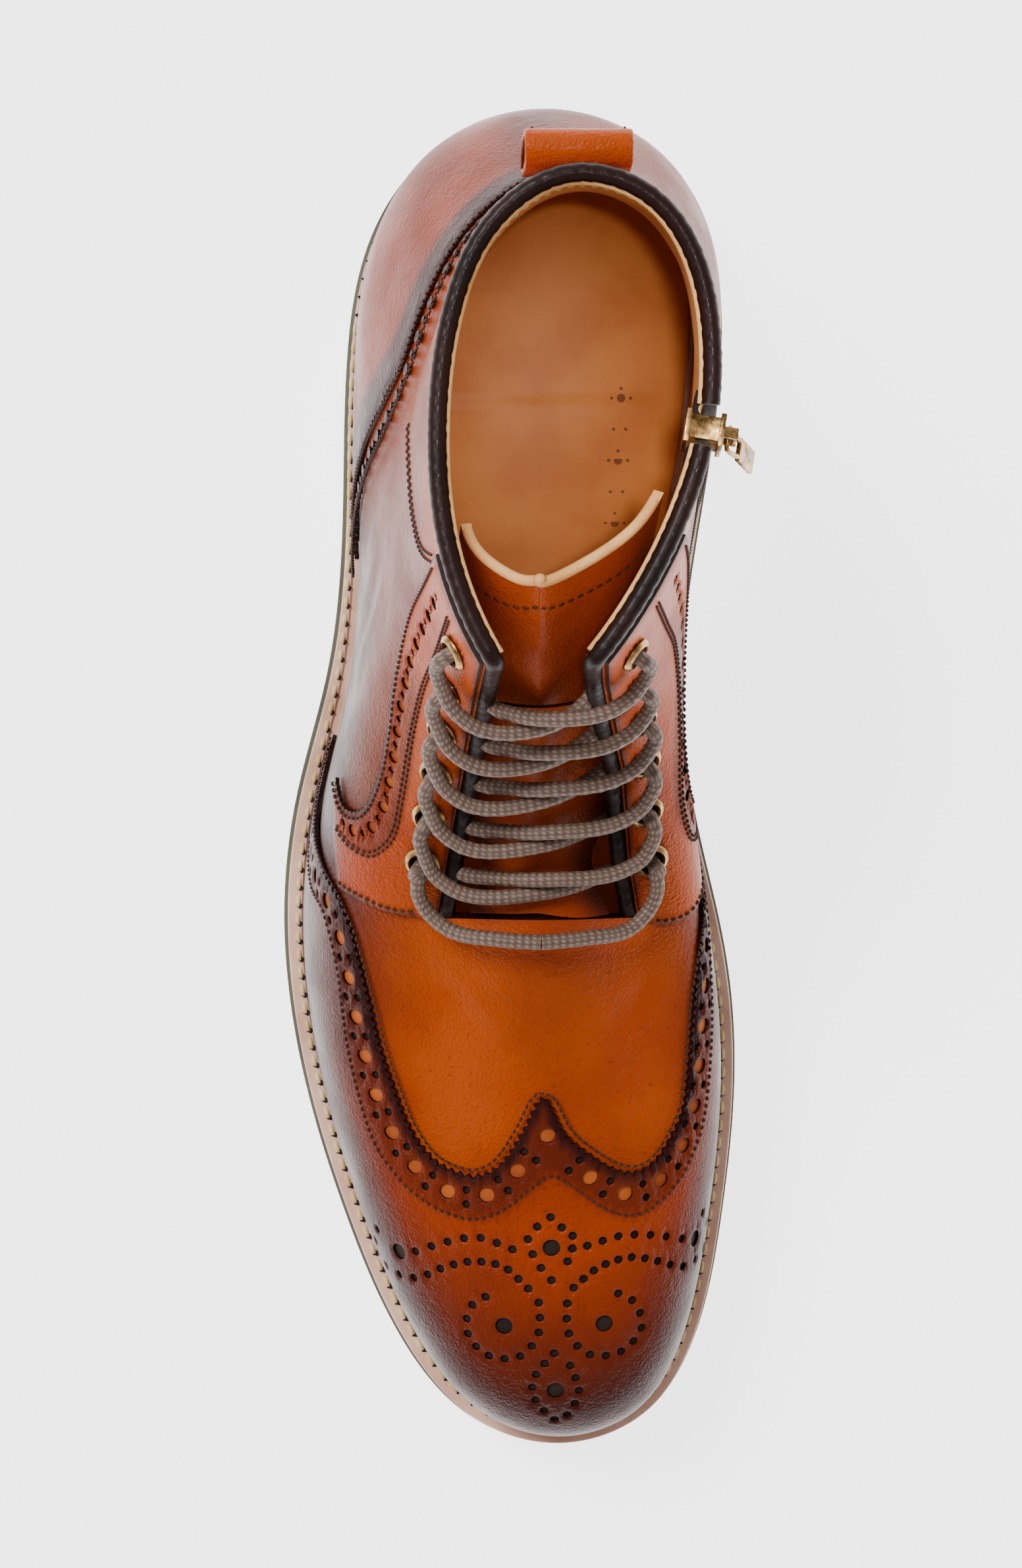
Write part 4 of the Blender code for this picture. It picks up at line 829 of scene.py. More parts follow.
def panel(name, outline, top, under, stuffs, holes=(), burnish_and_shade=None, drop=0.0003, seam=False, spacing=1.0):
    """A piece of leather on the boot: stuffs are those of its face, its cut edge and its back."""
    outline = np.asarray(outline, float)
    rings = [spot(turn, level, radius) for turn, level, radius in holes]
    lips = [spot(turn, level, radius * HOLE_LIP) for turn, level, radius in holes]
    points, triangles = triangulate(outline, rings, lips, spacing)
    count = len(points)
    if seam:
        left = np.flatnonzero(points[:, 0] < -0.5 + 1e-7)
        right = np.flatnonzero(points[:, 0] > 0.5 - 1e-7)
        twin = left[np.argmin(abs(points[right, 1][:, None] - points[left, 1][None]), 1)]
        number = np.arange(count)
        number[right] = twin
        triangles = number[triangles]
    turn, level = points.T
    positions = close_up(points)
    to_edge = away_from(positions, close_up(outline))
    height = top - drop * np.exp(-(to_edge / 0.0008) ** 2)
    for place, (_, _, radius) in zip(close_up(np.array([h[:2] for h in holes]).reshape(-1, 2)), holes):
        off = np.linalg.norm(positions - place, axis=1) / radius
        height = height + 0.00012 * np.exp(-((off - HOLE_LIP) / 0.25) ** 2) - 0.00022 * (off < 1.15)
    faces = [tuple(t) for t in triangles.tolist()]
    faces += [(a + count, c + count, b + count) for a, b, c in triangles.tolist()]
    sides = np.sort(np.vstack([triangles[:, [0, 1]], triangles[:, [1, 2]], triangles[:, [2, 0]]]), axis=1)
    pairs, times = np.unique(sides, axis=0, return_counts=True)
    rim = [(int(a), int(b), int(b) + count, int(a) + count) for a, b in pairs[times == 1]]
    kinds = [0] * len(triangles) + [2] * len(triangles) + [1] * len(rim)
    shade = np.zeros(count) if burnish_and_shade is None else burnish_and_shade(turn, level, to_edge)
    world_points = np.vstack([skin(turn, level, height), skin(turn, level, under)])
    return make(name, world_points, faces + rim, stuffs, kinds, 50.0,
                {"burnish_and_shade": np.concatenate([shade, shade])})


def hole_floors(name, holes, top, stuff):
    """Small discs that close punched holes from below."""
    points, faces = [], []
    for turn, level, radius in holes:
        ring = spot(turn, level, radius * 1.06)
        base = len(points)
        points += list(skin(ring[:, 0], ring[:, 1], top - HOLE_DEPTH))
        points.append(skin(np.array([turn]), np.array([level]), top - HOLE_DEPTH)[0])
        points.append(skin(np.array([turn]), np.array([level]), top - HOLE_DEPTH - 0.0002)[0])
        for i in range(HOLE_SIDES):
            after = (i + 1) % HOLE_SIDES
            faces.append((base + i, base + after, base + HOLE_SIDES))
            faces.append((base + after, base + i, base + HOLE_SIDES + 1))
    return make(name, points, faces, [stuff])


def stitches(name, line, out, stuff, pitch=STITCH_PITCH):
    """A row of sewn stitches: short fat threads, sunk at both ends."""
    turn, level = pace(line, pitch).T
    return thread_row(name, skin(turn, level, out), outward(turn, level), stuff)


def thread_row(name, lie, up, stuff, radius=THREAD, share=0.72):
    """Threads between neighbouring points of a world line, each a small bent capsule."""
    start, end, lift = lie[:-1], lie[1:], up[:-1]
    along = end - start
    length = np.linalg.norm(along, axis=1)[:, None]
    along = along / length
    sideways = np.cross(lift, along)
    sideways /= np.linalg.norm(sideways, axis=1)[:, None]
    lift = np.cross(along, sideways)
    stations = ((-0.5, 0.25, -0.9), (-0.36, 0.9, 0.1), (0.0, 1.05, 0.55), (0.36, 0.9, 0.1), (0.5, 0.25, -0.9))
    sides = 6
    middle = (start + end) / 2
    points = np.zeros((len(start), len(stations), sides, 3))
    for i, (place, fat, high) in enumerate(stations):
        centre = middle + along * length * share * place + lift * radius * high
        for k in range(sides):
            angle = 2 * math.pi * k / sides
            points[:, i, k] = centre + radius * fat * (math.cos(angle) * sideways + math.sin(angle) * lift)
    block = len(stations) * sides
    faces = []
    for number in range(len(start)):
        base = number * block
        for i in range(len(stations) - 1):
            for k in range(sides):
                a, b = base + i * sides + k, base + i * sides + (k + 1) % sides
                faces.append((a, b, b + sides, a + sides))
        faces.append(tuple(base + k for k in range(sides))[::-1])
        faces.append(tuple(base + block - sides + k for k in range(sides)))
    return make(name, points.reshape(-1, 3), faces, [stuff], sharp=60.0)


def boot_piece(item, slot, *nodes):
    """A piece: it rides on the boot and stands for its nodes, which are hidden; slot is not used."""
    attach(item, "boot")
    if nodes:
        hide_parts(*nodes)
    return item


# %% [markdown]
# ## The upper: vamp and quarters
#
# The leather of the vamp and quarters is one skin from the welt to the collar here, open between the
# facings and along the zip. Its back is the tan lining, and its cut edges are dyed dark, because
# they show in the throat. Its outline is walked once round: along the welt, up the back seam, round
# the collar, down one facing and up the other, and in and out of the zip's slot.

# %% Facing edges, eyelets and the skin of the upper
THROAT = ((0.355, -0.125, 0.245), (0.417, -0.180, 0.308), (0.478, -0.235, 0.410), (0.545, -0.300, 0.455),
          (0.590, -0.340, 0.505))
THROAT_CORNER = 0.698
EYELET_LOW = 0.712
EYELET_HIGH = 0.962
EYELET_COUNT = 6
EYELET_INSET = 0.0088
EYELET_BORE = 0.0025
EYELET_BARREL = 0.0029
EYELET_FLANGE = 0.00415
EYELET_RIM = 0.0007
EYELET_SEAT = 0.0008
ZIP = ((0.17, 0.668), (0.60, 0.690), (1.00, 0.706))
ZIP_SLOT = 0.0092


def facing_edge(level, side):
    """Turn of a facing's inner edge: side 1 is the outer facing, -1 the inner one."""
    level = np.asarray(level, float)
    near, far = np.zeros(level.shape), np.full(level.shape, 0.25 * side)
    column = 1 if side > 0 else 2
    for _ in range(30):
        middle = (near + far) / 2
        point = surface(middle, level)
        edge = table_at(THROAT, point[..., 0] / SOLE_LENGTH, column) * SOLE_WIDTH / 2
        beyond = (point[..., 1] < edge) if side > 0 else (point[..., 1] > edge)
        far = np.where(beyond, middle, far)
        near = np.where(beyond, near, middle)
    return middle


def lacing_level(row):
    """Level of a lacing row: 1 is the lowest pair of eyelets, EYELET_COUNT the highest."""
    return EYELET_LOW + (EYELET_HIGH - EYELET_LOW) * (np.asarray(row, float) - 1) / (EYELET_COUNT - 1)


def eyelet_spots(side):
    """(turn, level) of the eyelets on one facing."""
    level = lacing_level(np.arange(1, EYELET_COUNT + 1))
    return np.column_stack([shift(facing_edge(level, side), level, EYELET_INSET * side), level])


def zip_turn(level, distance=0.0):
    level = np.asarray(level, float)
    return shift(table_at(ZIP, level), level, distance)


def facing_line(side, low=THROAT_CORNER, high=1.0, count=40):
    level = np.linspace(low, high, count)
    return np.column_stack([facing_edge(level, side), level])


def run_of(turns, levels):
    """A straight run in turn and level, closely stepped."""
    turns, levels = np.array(turns, float), np.array(levels, float)
    steps = max(int(abs(np.diff(turns)).sum() / 0.0022), int(abs(np.diff(levels)).sum() / 0.009), 2)
    share = np.linspace(0, 1, steps + 1)[:-1]
    return np.column_stack([np.interp(share, (0, 1), turns), np.interp(share, (0, 1), levels)])


BORE_HOLES = [(t, l, EYELET_BARREL - 0.0001) for side in (1, -1) for t, l in eyelet_spots(side)]
zip_levels = np.linspace(ZIP[0][0], 1, 70)
zip_front = np.column_stack([zip_turn(zip_levels, ZIP_SLOT / 2) - 1, zip_levels])
zip_rear = np.column_stack([zip_turn(zip_levels, -ZIP_SLOT / 2) - 1, zip_levels])
throat_front = plan_place(np.full(24, THROAT[-1][0] * SOLE_LENGTH),
                          np.linspace(THROAT[-1][1], THROAT[-1][2], 24) * SOLE_WIDTH / 2)
outer_edge = facing_line(1, float(throat_front[0, 1]))
inner_edge = facing_line(-1, float(throat_front[-1, 1]))
upper_outline = np.vstack([
    run_of((-0.5, 0.5), (0, 0)),
    run_of((0.5, 0.5), (0, 1)),
    run_of((0.5, outer_edge[-1, 0]), (1, 1)),
    outer_edge[::-1],
    throat_front[1:-1],
    inner_edge,
    run_of((inner_edge[-1, 0], zip_front[-1, 0]), (1, 1))[1:],
    zip_front[::-1],
    zip_rear,
    run_of((zip_rear[-1, 0], -0.5), (1, 1))[1:],
    run_of((-0.5, -0.5), (1, 0)),
])


def upper_burnish_and_side_shade(turn, level, to_edge):
    """Burnish of the vamp and quarters: dark beside the welt, the facings and the back seam; painted shade
    darkens the sides.
    """
    low = 0.85 * np.exp(-(level / 0.22) ** 2)
    side = 0.35 * np.exp(-((abs(turn) - 0.25) / 0.09) ** 2) * np.exp(-((level - 0.40) / 0.18) ** 2)
    back = 0.45 * np.exp(-((0.5 - abs(turn)) / 0.03) ** 2)
    vamp = 0.30 * np.exp(-(turn / 0.05) ** 2) * np.exp(-((level - 0.69) / 0.05) ** 2)
    collar_glow = -0.5 * ease((level - 0.90) / 0.06)
    # Painted shade: the sides are darkened in colour to offset the light that the glowing floor throws on
    # them.
    painted_side_shade = 0.64 * ease((abs(turn) - 0.09) / 0.10) * ease((0.5 - abs(turn)) / 0.2)
    return np.clip(low + side + back + vamp + painted_side_shade + collar_glow, 0, 1)


skin_piece = panel("upper_skin", upper_outline, 0.0, -WALL, [vamp_leather, binding_leather, lining_leather],
                   BORE_HOLES, upper_burnish_and_side_shade, drop=0.0, seam=True, spacing=0.85)
boot_piece(skin_piece, "upper_leather", "upper")
print("upper skin:", len(skin_piece.data.polygons), "faces")

# %% [markdown]
# ## The winged toe cap
#
# The wing is a second layer of leather with a gimped edge, cut with shears that leave small teeth.
# Inside the edge runs a band of punched holes between two stitch rows, and on the toe there is a
# medallion of dots. The dots follow curves that a hand drew once, so they are read here as arcs in
# plan, in millimetres from the heel and across, with a count of dots for each. The holes are real:
# the outline is triangulated round them, and dark discs close them below.

# %% Lines of the wing
# Edge of the winged cap, outer side positive: turn, level
WING = (
    (-0.268, 0.00), (-0.235, 0.20), (-0.205, 0.36), (-0.178, 0.425), (-0.156, 0.470), (-0.131, 0.480),
    (-0.112, 0.457), (-0.097, 0.443), (-0.079, 0.460), (-0.058, 0.483), (-0.042, 0.507), (-0.029, 0.533),
    (-0.018, 0.557), (-0.007, 0.580), (0.003, 0.612), (0.015, 0.577), (0.025, 0.543), (0.037, 0.517),
    (0.051, 0.497), (0.071, 0.473), (0.090, 0.463), (0.107, 0.467), (0.125, 0.473), (0.139, 0.483),
    (0.153, 0.485), (0.168, 0.480), (0.185, 0.452), (0.210, 0.36), (0.238, 0.20), (0.268, 0.00),
)
# Stitch row on the far side of the punched band, from the peak to the welt, the same on both sides
BAND = (
    (0.002, 0.545), (0.011, 0.530), (0.024, 0.500), (0.037, 0.473), (0.051, 0.450), (0.069, 0.420),
    (0.093, 0.380), (0.111, 0.357), (0.129, 0.363), (0.146, 0.377), (0.169, 0.403), (0.193, 0.370),
    (0.212, 0.27), (0.236, 0.13), (0.255, 0.00),
)
GIMP_PITCH = 0.0021
GIMP_DEPTH = 0.0010
BIG_HOLE = 0.00185
SMALL_HOLE = 0.00088
BIG_PITCH = 0.0095
DOT = 0.00098
DOT_BIG = 0.0020
PEAK = (0.002, 0.580)


def band_middle(side):
    """Middle line of the wing's punched band on one side, from just below the peak."""
    turn = np.linspace(0.004, 0.262, 60)
    edge = table_at(WING, turn * side)
    far = table_at(BAND, turn)
    return np.column_stack([turn * side, (edge + far) / 2])


def punched_band(line, big=BIG_HOLE, small=SMALL_HOLE, pitch=BIG_PITCH, apart=0.0017, start=0.5):
    """Large holes at a pitch along a line, with a pair of small ones between each two."""
    places = pace(line, pitch / 2)
    holes = []
    for number, (turn, level) in enumerate(places[1:-1], 1):
        if level < 0.03:
            continue
        if number % 2 == 0:
            holes.append((turn, level, big))
        else:
            for aside in ((-apart, apart) if apart else (0.0,)):
                moved = offset_line(places[number - 1: number + 2], aside)[1]
                holes.append((moved[0], moved[1], small))
    return holes


# Medallion: number of small dots, then the points of each arc (millimetres from heel, across)
ARCS = (
    (6, (253.0, 7.9), (257.7, 2.9), (263.0, 4.6), (267.8, 8.2)),
    (4, (255.4, 10.4), (257.6, 13.0), (263.4, 11.8)),
    (7, (260.6, -0.6), (258.0, -8.2), (259.4, -15.6), (261.9, -22.1)),
    (7, (259.8, 16.2), (257.6, 24.2), (258.0, 31.8), (259.3, 37.5)),
    (15, (269.8, 3.0), (264.7, -2.7), (263.7, -9.8), (265.5, -16.2), (268.2, -21.9), (267.2, -27.0),
     (262.7, -30.3), (257.6, -30.3)),
    (15, (269.6, 13.2), (264.9, 18.9), (262.8, 26.2), (264.3, 32.9), (265.9, 37.6), (264.0, 41.6),
     (258.0, 43.6), (254.0, 42.2)),
    (12, (273.1, 5.4), (280.1, 5.5), (285.8, 1.4), (285.8, -5.7), (280.4, -10.4), (273.8, -9.3),
     (271.9, -6.5)),
    (12, (273.3, 11.8), (280.3, 12.2), (285.3, 16.7), (285.2, 23.4), (279.2, 28.6), (272.8, 26.3),
     (271.2, 23.3)),
    (12, (285.1, 9.0), (290.7, 4.8), (294.0, 4.2), (299.0, 7.2), (301.0, 9.6), (294.0, 14.7), (288.0, 12.6)),
)
MAIN_DOTS = ((260.2, 8.1), (262.3, -25.7), (259.8, 40.6), (278.7, -2.4), (278.2, 20.2), (294.0, 9.4))


def medallion():
    holes = []
    for count, *points in ARCS:
        line = smooth_path(np.array(points) / 1000, 200)
        run = run_along(line)
        spots = read_at(np.linspace(0, run[-1], count), run, line)
        holes += [(t, l, DOT) for t, l in plan_place(spots[:, 0], spots[:, 1])]
    spots = np.array(MAIN_DOTS) / 1000
    return holes + [(t, l, DOT_BIG) for t, l in plan_place(spots[:, 0], spots[:, 1])]


def apart_enough(holes, clear=0.0005):
    """Leaves out a hole that would touch one placed before it."""
    kept, places = [], []
    for turn, level, radius in holes:
        place = world(surface(turn, level))
        if all(np.linalg.norm(place - other) > radius + far + clear for other, far in places):
            kept.append((turn, level, radius))
            places.append((place, radius))
    return kept


def cap_burnish_and_side_shade(turn, level, to_edge):
    """Dark toe and band, brighter field behind the medallion, and painted shade on the cap's sides."""
    toe = 0.95 * ease((0.52 - level) / 0.30)
    # Painted shade: the cap's sides are darkened in colour to offset the light from the glowing floor.
    painted_side_shade = 0.85 * ease((abs(turn) - 0.06) / 0.10)
    far = table_at(BAND, abs(turn))
    band = 0.62 * ease((level - far + 0.008) / 0.012)
    cut = np.exp(-(to_edge / 0.0012) ** 2)
    return np.clip(np.maximum(np.maximum(toe, band), painted_side_shade) + cut, 0, 1)


def gimped_to_welt(line):
    """A toothed edge that starts and ends at the welt, closed along the welt."""
    edge = gimp(np.array(line), GIMP_PITCH, GIMP_DEPTH)
    edge[:, 1] = np.clip(edge[:, 1], 0, 1)
    edge[[0, -1], 1] = 0
    return np.vstack([edge, run_of((edge[-1, 0], edge[0, 0]), (0, 0))[1:]])


# %% Cut, punch and lay the wing
CUT_LEATHERS = [cap_leather, binding_leather, lining_leather]
band_holes = [(PEAK[0], PEAK[1], BIG_HOLE)]
for side in (1, -1):
    band_holes += punched_band(band_middle(side))
band_holes = apart_enough(band_holes)
dots = apart_enough(medallion())
cap = panel("wing_leather", gimped_to_welt(WING), FACE, OVERLAY_GAP, CUT_LEATHERS, band_holes + dots,
            cap_burnish_and_side_shade)
large_holes = [h for h in band_holes if h[2] == BIG_HOLE]
small_holes = [h for h in band_holes + dots if h[2] != BIG_HOLE]
floors = hole_floors("wing_hole_floors", large_holes, FACE, hole_orange)
dark_floors = hole_floors("wing_dot_floors", small_holes, FACE, hole_shade)

THREAD_SEAT = 0.00005
STITCH_SEAT = FACE + THREAD_SEAT
WING_SEAM = 0.0017
near_edge = offset_line(pace(np.array(WING), EDGE_STEP), -WING_SEAM)
near_edge = near_edge[near_edge[:, 1] > 0.02]
half_band = pace(np.array(BAND), EDGE_STEP)
whole_band = np.vstack([half_band[::-1] * [-1, 1], half_band])
whole_band = whole_band[whole_band[:, 1] > 0.015]
edge_seam = stitches("wing_edge_stitches", near_edge, STITCH_SEAT, thread)
band_seam = stitches("wing_band_stitches", whole_band, STITCH_SEAT, thread)
for item in (cap, floors, dark_floors, edge_seam, band_seam):
    boot_piece(item, "burnished_leather", "wing_cap")
print("wing cap:", len(cap.data.polygons), "faces,", len(band_holes), "band holes,", len(dots), "dots")

# %% [markdown]
# ## Counter and eyestays
#
# The counter wraps the heel and the eyestays carry the eyelets. Both are cut and punched like the
# wing, only with smaller holes. The line that a seam follows is the line that the holes and the teeth
# follow, moved over by a few millimetres, so each piece needs just one or two short tables.

# %% Heel counter
COUNTER = (
    (0.335, 0.00), (0.350, 0.15), (0.366, 0.36), (0.378, 0.53), (0.392, 0.63), (0.418, 0.675),
    (0.447, 0.695), (0.475, 0.695), (0.500, 0.690), (0.525, 0.695), (0.553, 0.695), (0.582, 0.675),
    (0.608, 0.63), (0.622, 0.53), (0.632, 0.36), (0.645, 0.15), (0.655, 0.00),
)
BAND_WIDTH = 0.0088


def counter_burnish(turn, level, to_edge):
    low = 0.6 * np.exp(-(level / 0.16) ** 2)
    edge = 0.75 * ease((BAND_WIDTH + 0.0012 - to_edge) / 0.003) * ease(level / 0.1)
    seam = 0.5 * np.exp(-((turn - 0.5) / 0.012) ** 2)
    cut = np.exp(-(to_edge / 0.0012) ** 2)
    return np.clip(0.34 + 0.8 * np.maximum(np.maximum(low, edge), seam) + cut, 0, 1)


counter_even = pace(np.array(COUNTER), EDGE_STEP)
counter_holes = apart_enough(punched_band(offset_line(counter_even, -0.0052), 0.0014, 0.0008, 0.0080, 0.0))
counter = panel("counter_leather", gimped_to_welt(COUNTER), FACE, OVERLAY_GAP, CUT_LEATHERS, counter_holes,
                counter_burnish)
boot_piece(counter, "burnished_leather", "heel_counter")
floors = hole_floors("counter_hole_floors", counter_holes, FACE, hole_shade)
boot_piece(floors, "burnished_leather", "heel_counter")
for number, distance in enumerate((0.0017, 0.0026, 0.0082, 0.0091)):
    row = offset_line(counter_even, -distance)
    row = row[(row[:, 1] > 0.02)]
    item = stitches(f"counter_stitches_{number + 1}", row, STITCH_SEAT, thread)
    boot_piece(item, "burnished_leather", "heel_counter")

# %% Eyestays with their punched strips
# Outer edge of each eyestay, and the front edge of the quarter below the throat: turn, level
STAY_BACK = {
    1: ((0.236, 0.996), (0.237, 0.940), (0.238, 0.877), (0.224, 0.787), (0.204, 0.720), (0.197, 0.680),
        (0.196, 0.620), (0.212, 0.520), (0.238, 0.433)),
    -1: ((-0.226, 0.996), (-0.236, 0.930), (-0.240, 0.860), (-0.238, 0.787), (-0.226, 0.720), (-0.205, 0.680),
         (-0.196, 0.620), (-0.206, 0.520), (-0.226, 0.440)),
}
STAY_FRONT = {
    1: ((0.192, 0.452), (0.172, 0.530), (0.146, 0.603), (0.122, 0.655)),
    -1: ((-0.184, 0.440), (-0.160, 0.520), (-0.128, 0.605), (-0.104, 0.655)),
}
STAY_INNER = {
    1: ((0.188, 0.985), (0.185, 0.917), (0.186, 0.860), (0.182, 0.813), (0.168, 0.717), (0.164, 0.680),
        (0.172, 0.620), (0.192, 0.545), (0.214, 0.470)),
    -1: ((-0.176, 0.985), (-0.188, 0.920), (-0.200, 0.850), (-0.200, 0.777), (-0.188, 0.717), (-0.171, 0.660),
         (-0.172, 0.610), (-0.186, 0.540), (-0.204, 0.465)),
}


def stay_burnish(turn, level, to_edge):
    """Eyestays are darkest along the strip of holes and at the foot."""
    side = np.where(turn > 0, 1, -1)
    middle = np.zeros(len(turn))
    for s in (1, -1):
        line = pace(np.array(STAY_BACK[s]), 0.003)
        inner = pace(np.array(STAY_INNER[s]), 0.003)
        here = side == s
        if here.any():
            spots_now = close_up(np.column_stack([turn[here], level[here]]))
            reach = away_from(spots_now, close_up(line)) + away_from(spots_now, close_up(inner))
            middle[here] = 0.55 * ease((0.0125 - reach) / 0.003)
    cut = 0.8 * np.exp(-(to_edge / 0.0010) ** 2)
    return np.clip(np.maximum(middle, 0.5 * ease((0.56 - level) / 0.12)) + cut, 0, 1)


for side, label in ((1, "lateral"), (-1, "medial")):
    back = pace(np.array(STAY_BACK[side]), EDGE_STEP)
    front = pace(np.array(STAY_FRONT[side]), EDGE_STEP)
    corner = throat_front[0] if side > 0 else throat_front[-1]
    facing = facing_line(side, float(corner[1]) + 0.002, 0.996, 60)
    facing[:, 0] = shift(facing[:, 0], facing[:, 1], 0.0006 * side)
    top = run_of((facing[-1, 0], back[0, 0]), (0.996, 0.996))[1:]
    foot = run_of((back[-1, 0], front[0, 0]), (back[-1, 1], front[0, 1]))[1:]
    outline = np.vstack([facing, top, gimp(back, 0.0016, 0.0005), foot, front])
    bores = [(t, l, EYELET_BARREL - 0.0001) for t, l in eyelet_spots(side)]
    inner = pace(np.array(STAY_INNER[side]), EDGE_STEP)
    share = np.linspace(0, 1, 80)
    outer_even = read_at(share, np.linspace(0, 1, len(back)), back)
    inner_even = read_at(share, np.linspace(0, 1, len(inner)), inner)
    strip = (outer_even + inner_even) / 2
    punched = apart_enough(bores + punched_band(strip[3:-2], 0.00145, 0.00078, 0.0073, 0.0))[len(bores):]
    stay = panel(f"eyestay_leather_{label}", outline, FACE, OVERLAY_GAP,
                 [vamp_leather, binding_leather, lining_leather], bores + punched, stay_burnish)
    boot_piece(stay, "upper_leather", f"eyestay_{label}")
    floors = hole_floors(f"eyestay_hole_floors_{label}", punched, FACE, hole_orange)
    boot_piece(floors, "upper_leather", f"eyestay_{label}")
    rows = (("outer", offset_line(back, 0.0014 * side)), ("inner", inner),
            ("inner_second", offset_line(inner, 0.0010 * side)),
            ("front", offset_line(front, 0.0014 * side)))
    for word, row in rows:
        row = row[(row[:, 1] < 0.985)]
        item = stitches(f"eyestay_stitches_{word}_{label}", row, STITCH_SEAT, thread)
        boot_piece(item, "upper_leather", f"eyestay_{label}")
print("eyestays with", EYELET_COUNT, "eyelets a side")

# %% [markdown]
# ## Tongue, rolled edges and eyelets
#
# The tongue grows out of the vamp, passes under the facings and leans back into the shaft. The collar
# and facings end in a rolled binding, a thin strip of dark leather wrapped round the edge. A rolled
# strip is a tube in shape, so it is swept along the edge, and its wrinkles come from a small change of
# radius. Eyelets are turned shapes: a brass barrel whose rim was curled over by a setting tool.

# %% Tools for swept and turned pieces
TONGUE = (
    (0.766, 0.727, 0.064, 0.00, 0.00), (0.784, 0.745, 0.064, 0.45, 0.00), (0.806, 0.765, 0.070, 1.00, 0.00),
    (0.838, 0.775, 0.115, 1.00, 0.00), (0.880, 0.800, 0.150, 1.00, 0.06), (0.915, 0.830, 0.185, 1.00, 0.22),
    (0.945, 0.870, 0.215, 1.00, 0.48), (0.970, 0.915, 0.240, 1.00, 0.75), (0.990, 0.965, 0.262, 1.00, 1.00),
)
LACE_RADIUS = 0.00175
TONGUE_DEPTH = WALL + 2 * LACE_RADIUS + 0.0006
TONGUE_THICK = 0.0022
TONGUE_LEAN = 0.020
TONGUE_SHIFT = 0.005
BINDING_RADIUS = 0.0019


def evened(path, step):
    """A world path read again at an even step."""
    path = np.asarray(path, float)
    run = run_along(path)
    return read_at(np.linspace(0, run[-1], max(int(run[-1] / step), 2)), run, path)


def sweep(path, radius, sides):
    """Rings of points round a path: path stations by sides. radius is a number or a grid."""
    path = np.asarray(path, float)
    ahead = np.gradient(path, axis=0)
    ahead /= np.linalg.norm(ahead, axis=1)[:, None]
    across = np.cross(ahead[0], (0.0, 0.0, 1.0))
    if np.linalg.norm(across) < 0.1:
        across = np.cross(ahead[0], (1.0, 0.0, 0.0))
    rings = np.zeros((len(path), sides, 3))
    radius = np.broadcast_to(radius, (len(path), sides))
    angle = 2 * np.pi * np.arange(sides) / sides
    for number, (centre, along) in enumerate(zip(path, ahead)):
        across = across - along * np.dot(across, along)
        across /= np.linalg.norm(across)
        lift = np.cross(along, across)
        rings[number] = centre + radius[number][:, None] * (np.cos(angle)[:, None] * across
                                                            + np.sin(angle)[:, None] * lift)
    return rings


def ring_faces(rows, sides, closed=False):
    faces = []
    for i in range(rows if closed else rows - 1):
        for k in range(sides):
            after, nxt = (i + 1) % rows, (k + 1) % sides
            faces.append((i * sides + k, i * sides + nxt, after * sides + nxt, after * sides + k))
    if not closed:
        faces.append(tuple(range(sides))[::-1])
        faces.append(tuple(range((rows - 1) * sides, rows * sides)))
    return faces


def tube(name, path, radius, sides, stuff, numbers=None):
    rings = sweep(path, radius, sides)
    faces = ring_faces(len(rings), sides)
    return make(name, rings.reshape(-1, 3), faces, [stuff], sharp=60.0, numbers=numbers)


def slab(name, outer, inner, stuffs, numbers=None):
    """A wall between two grids: stuffs are those of its outside, its edge and its inside."""
    rows, columns = outer.shape[:2]
    points = np.vstack([outer.reshape(-1, 3), inner.reshape(-1, 3)])
    base = rows * columns
    faces, kinds = [], []
    for i in range(rows - 1):
        for j in range(columns - 1):
            a = i * columns + j
            faces += [(a, a + 1, a + columns + 1, a + columns),
                      (base + a, base + a + columns, base + a + columns + 1, base + a + 1)]
            kinds += [0, 2]
    rim = [i * columns for i in range(rows)] + [(rows - 1) * columns + j for j in range(1, columns)]
    rim += [i * columns + columns - 1 for i in range(rows - 2, -1, -1)] + list(range(columns - 2, 0, -1))
    for a, b in zip(rim, rim[1:] + rim[:1]):
        faces.append((a, b, base + b, base + a))
        kinds.append(1)
    return make(name, points, faces, stuffs, kinds, 50.0, numbers)


def turned(name, outline, places, sides, stuff):
    """Rings turned about the Z axis of each place from (radius, height) pairs of a closed outline."""
    points, faces = [], []
    count = len(outline)
    for place in places:
        base = len(points)
        for k in range(sides):
            angle = 2 * math.pi * k / sides
            points += [place @ Vector((r * math.cos(angle), r * math.sin(angle), h)) for r, h in outline]
        for k in range(sides):
            for i in range(count):
                j, nxt = (i + 1) % count, (k + 1) % sides
                corners = (k * count + i, k * count + j, nxt * count + j, nxt * count + i)
                faces.append(tuple(base + n for n in corners))
    return make(name, points, faces, [stuff], sharp=50.0)


def frame_on(turn, level):
    """Axes on the upper: X round the foot, Y up it, Z outward."""
    turn, level = np.array([turn]), np.array([level])
    normal = Vector(outward(turn, level)[0])
    up = Vector((world(surface(turn, level + 0.01)) - world(surface(turn, level - 0.01)))[0])
    up = (up - normal * up.dot(normal)).normalized()
    axes = Matrix((up.cross(normal), up, normal)).transposed().to_4x4()
    return Matrix.Translation(Vector(world(surface(turn, level))[0])) @ axes


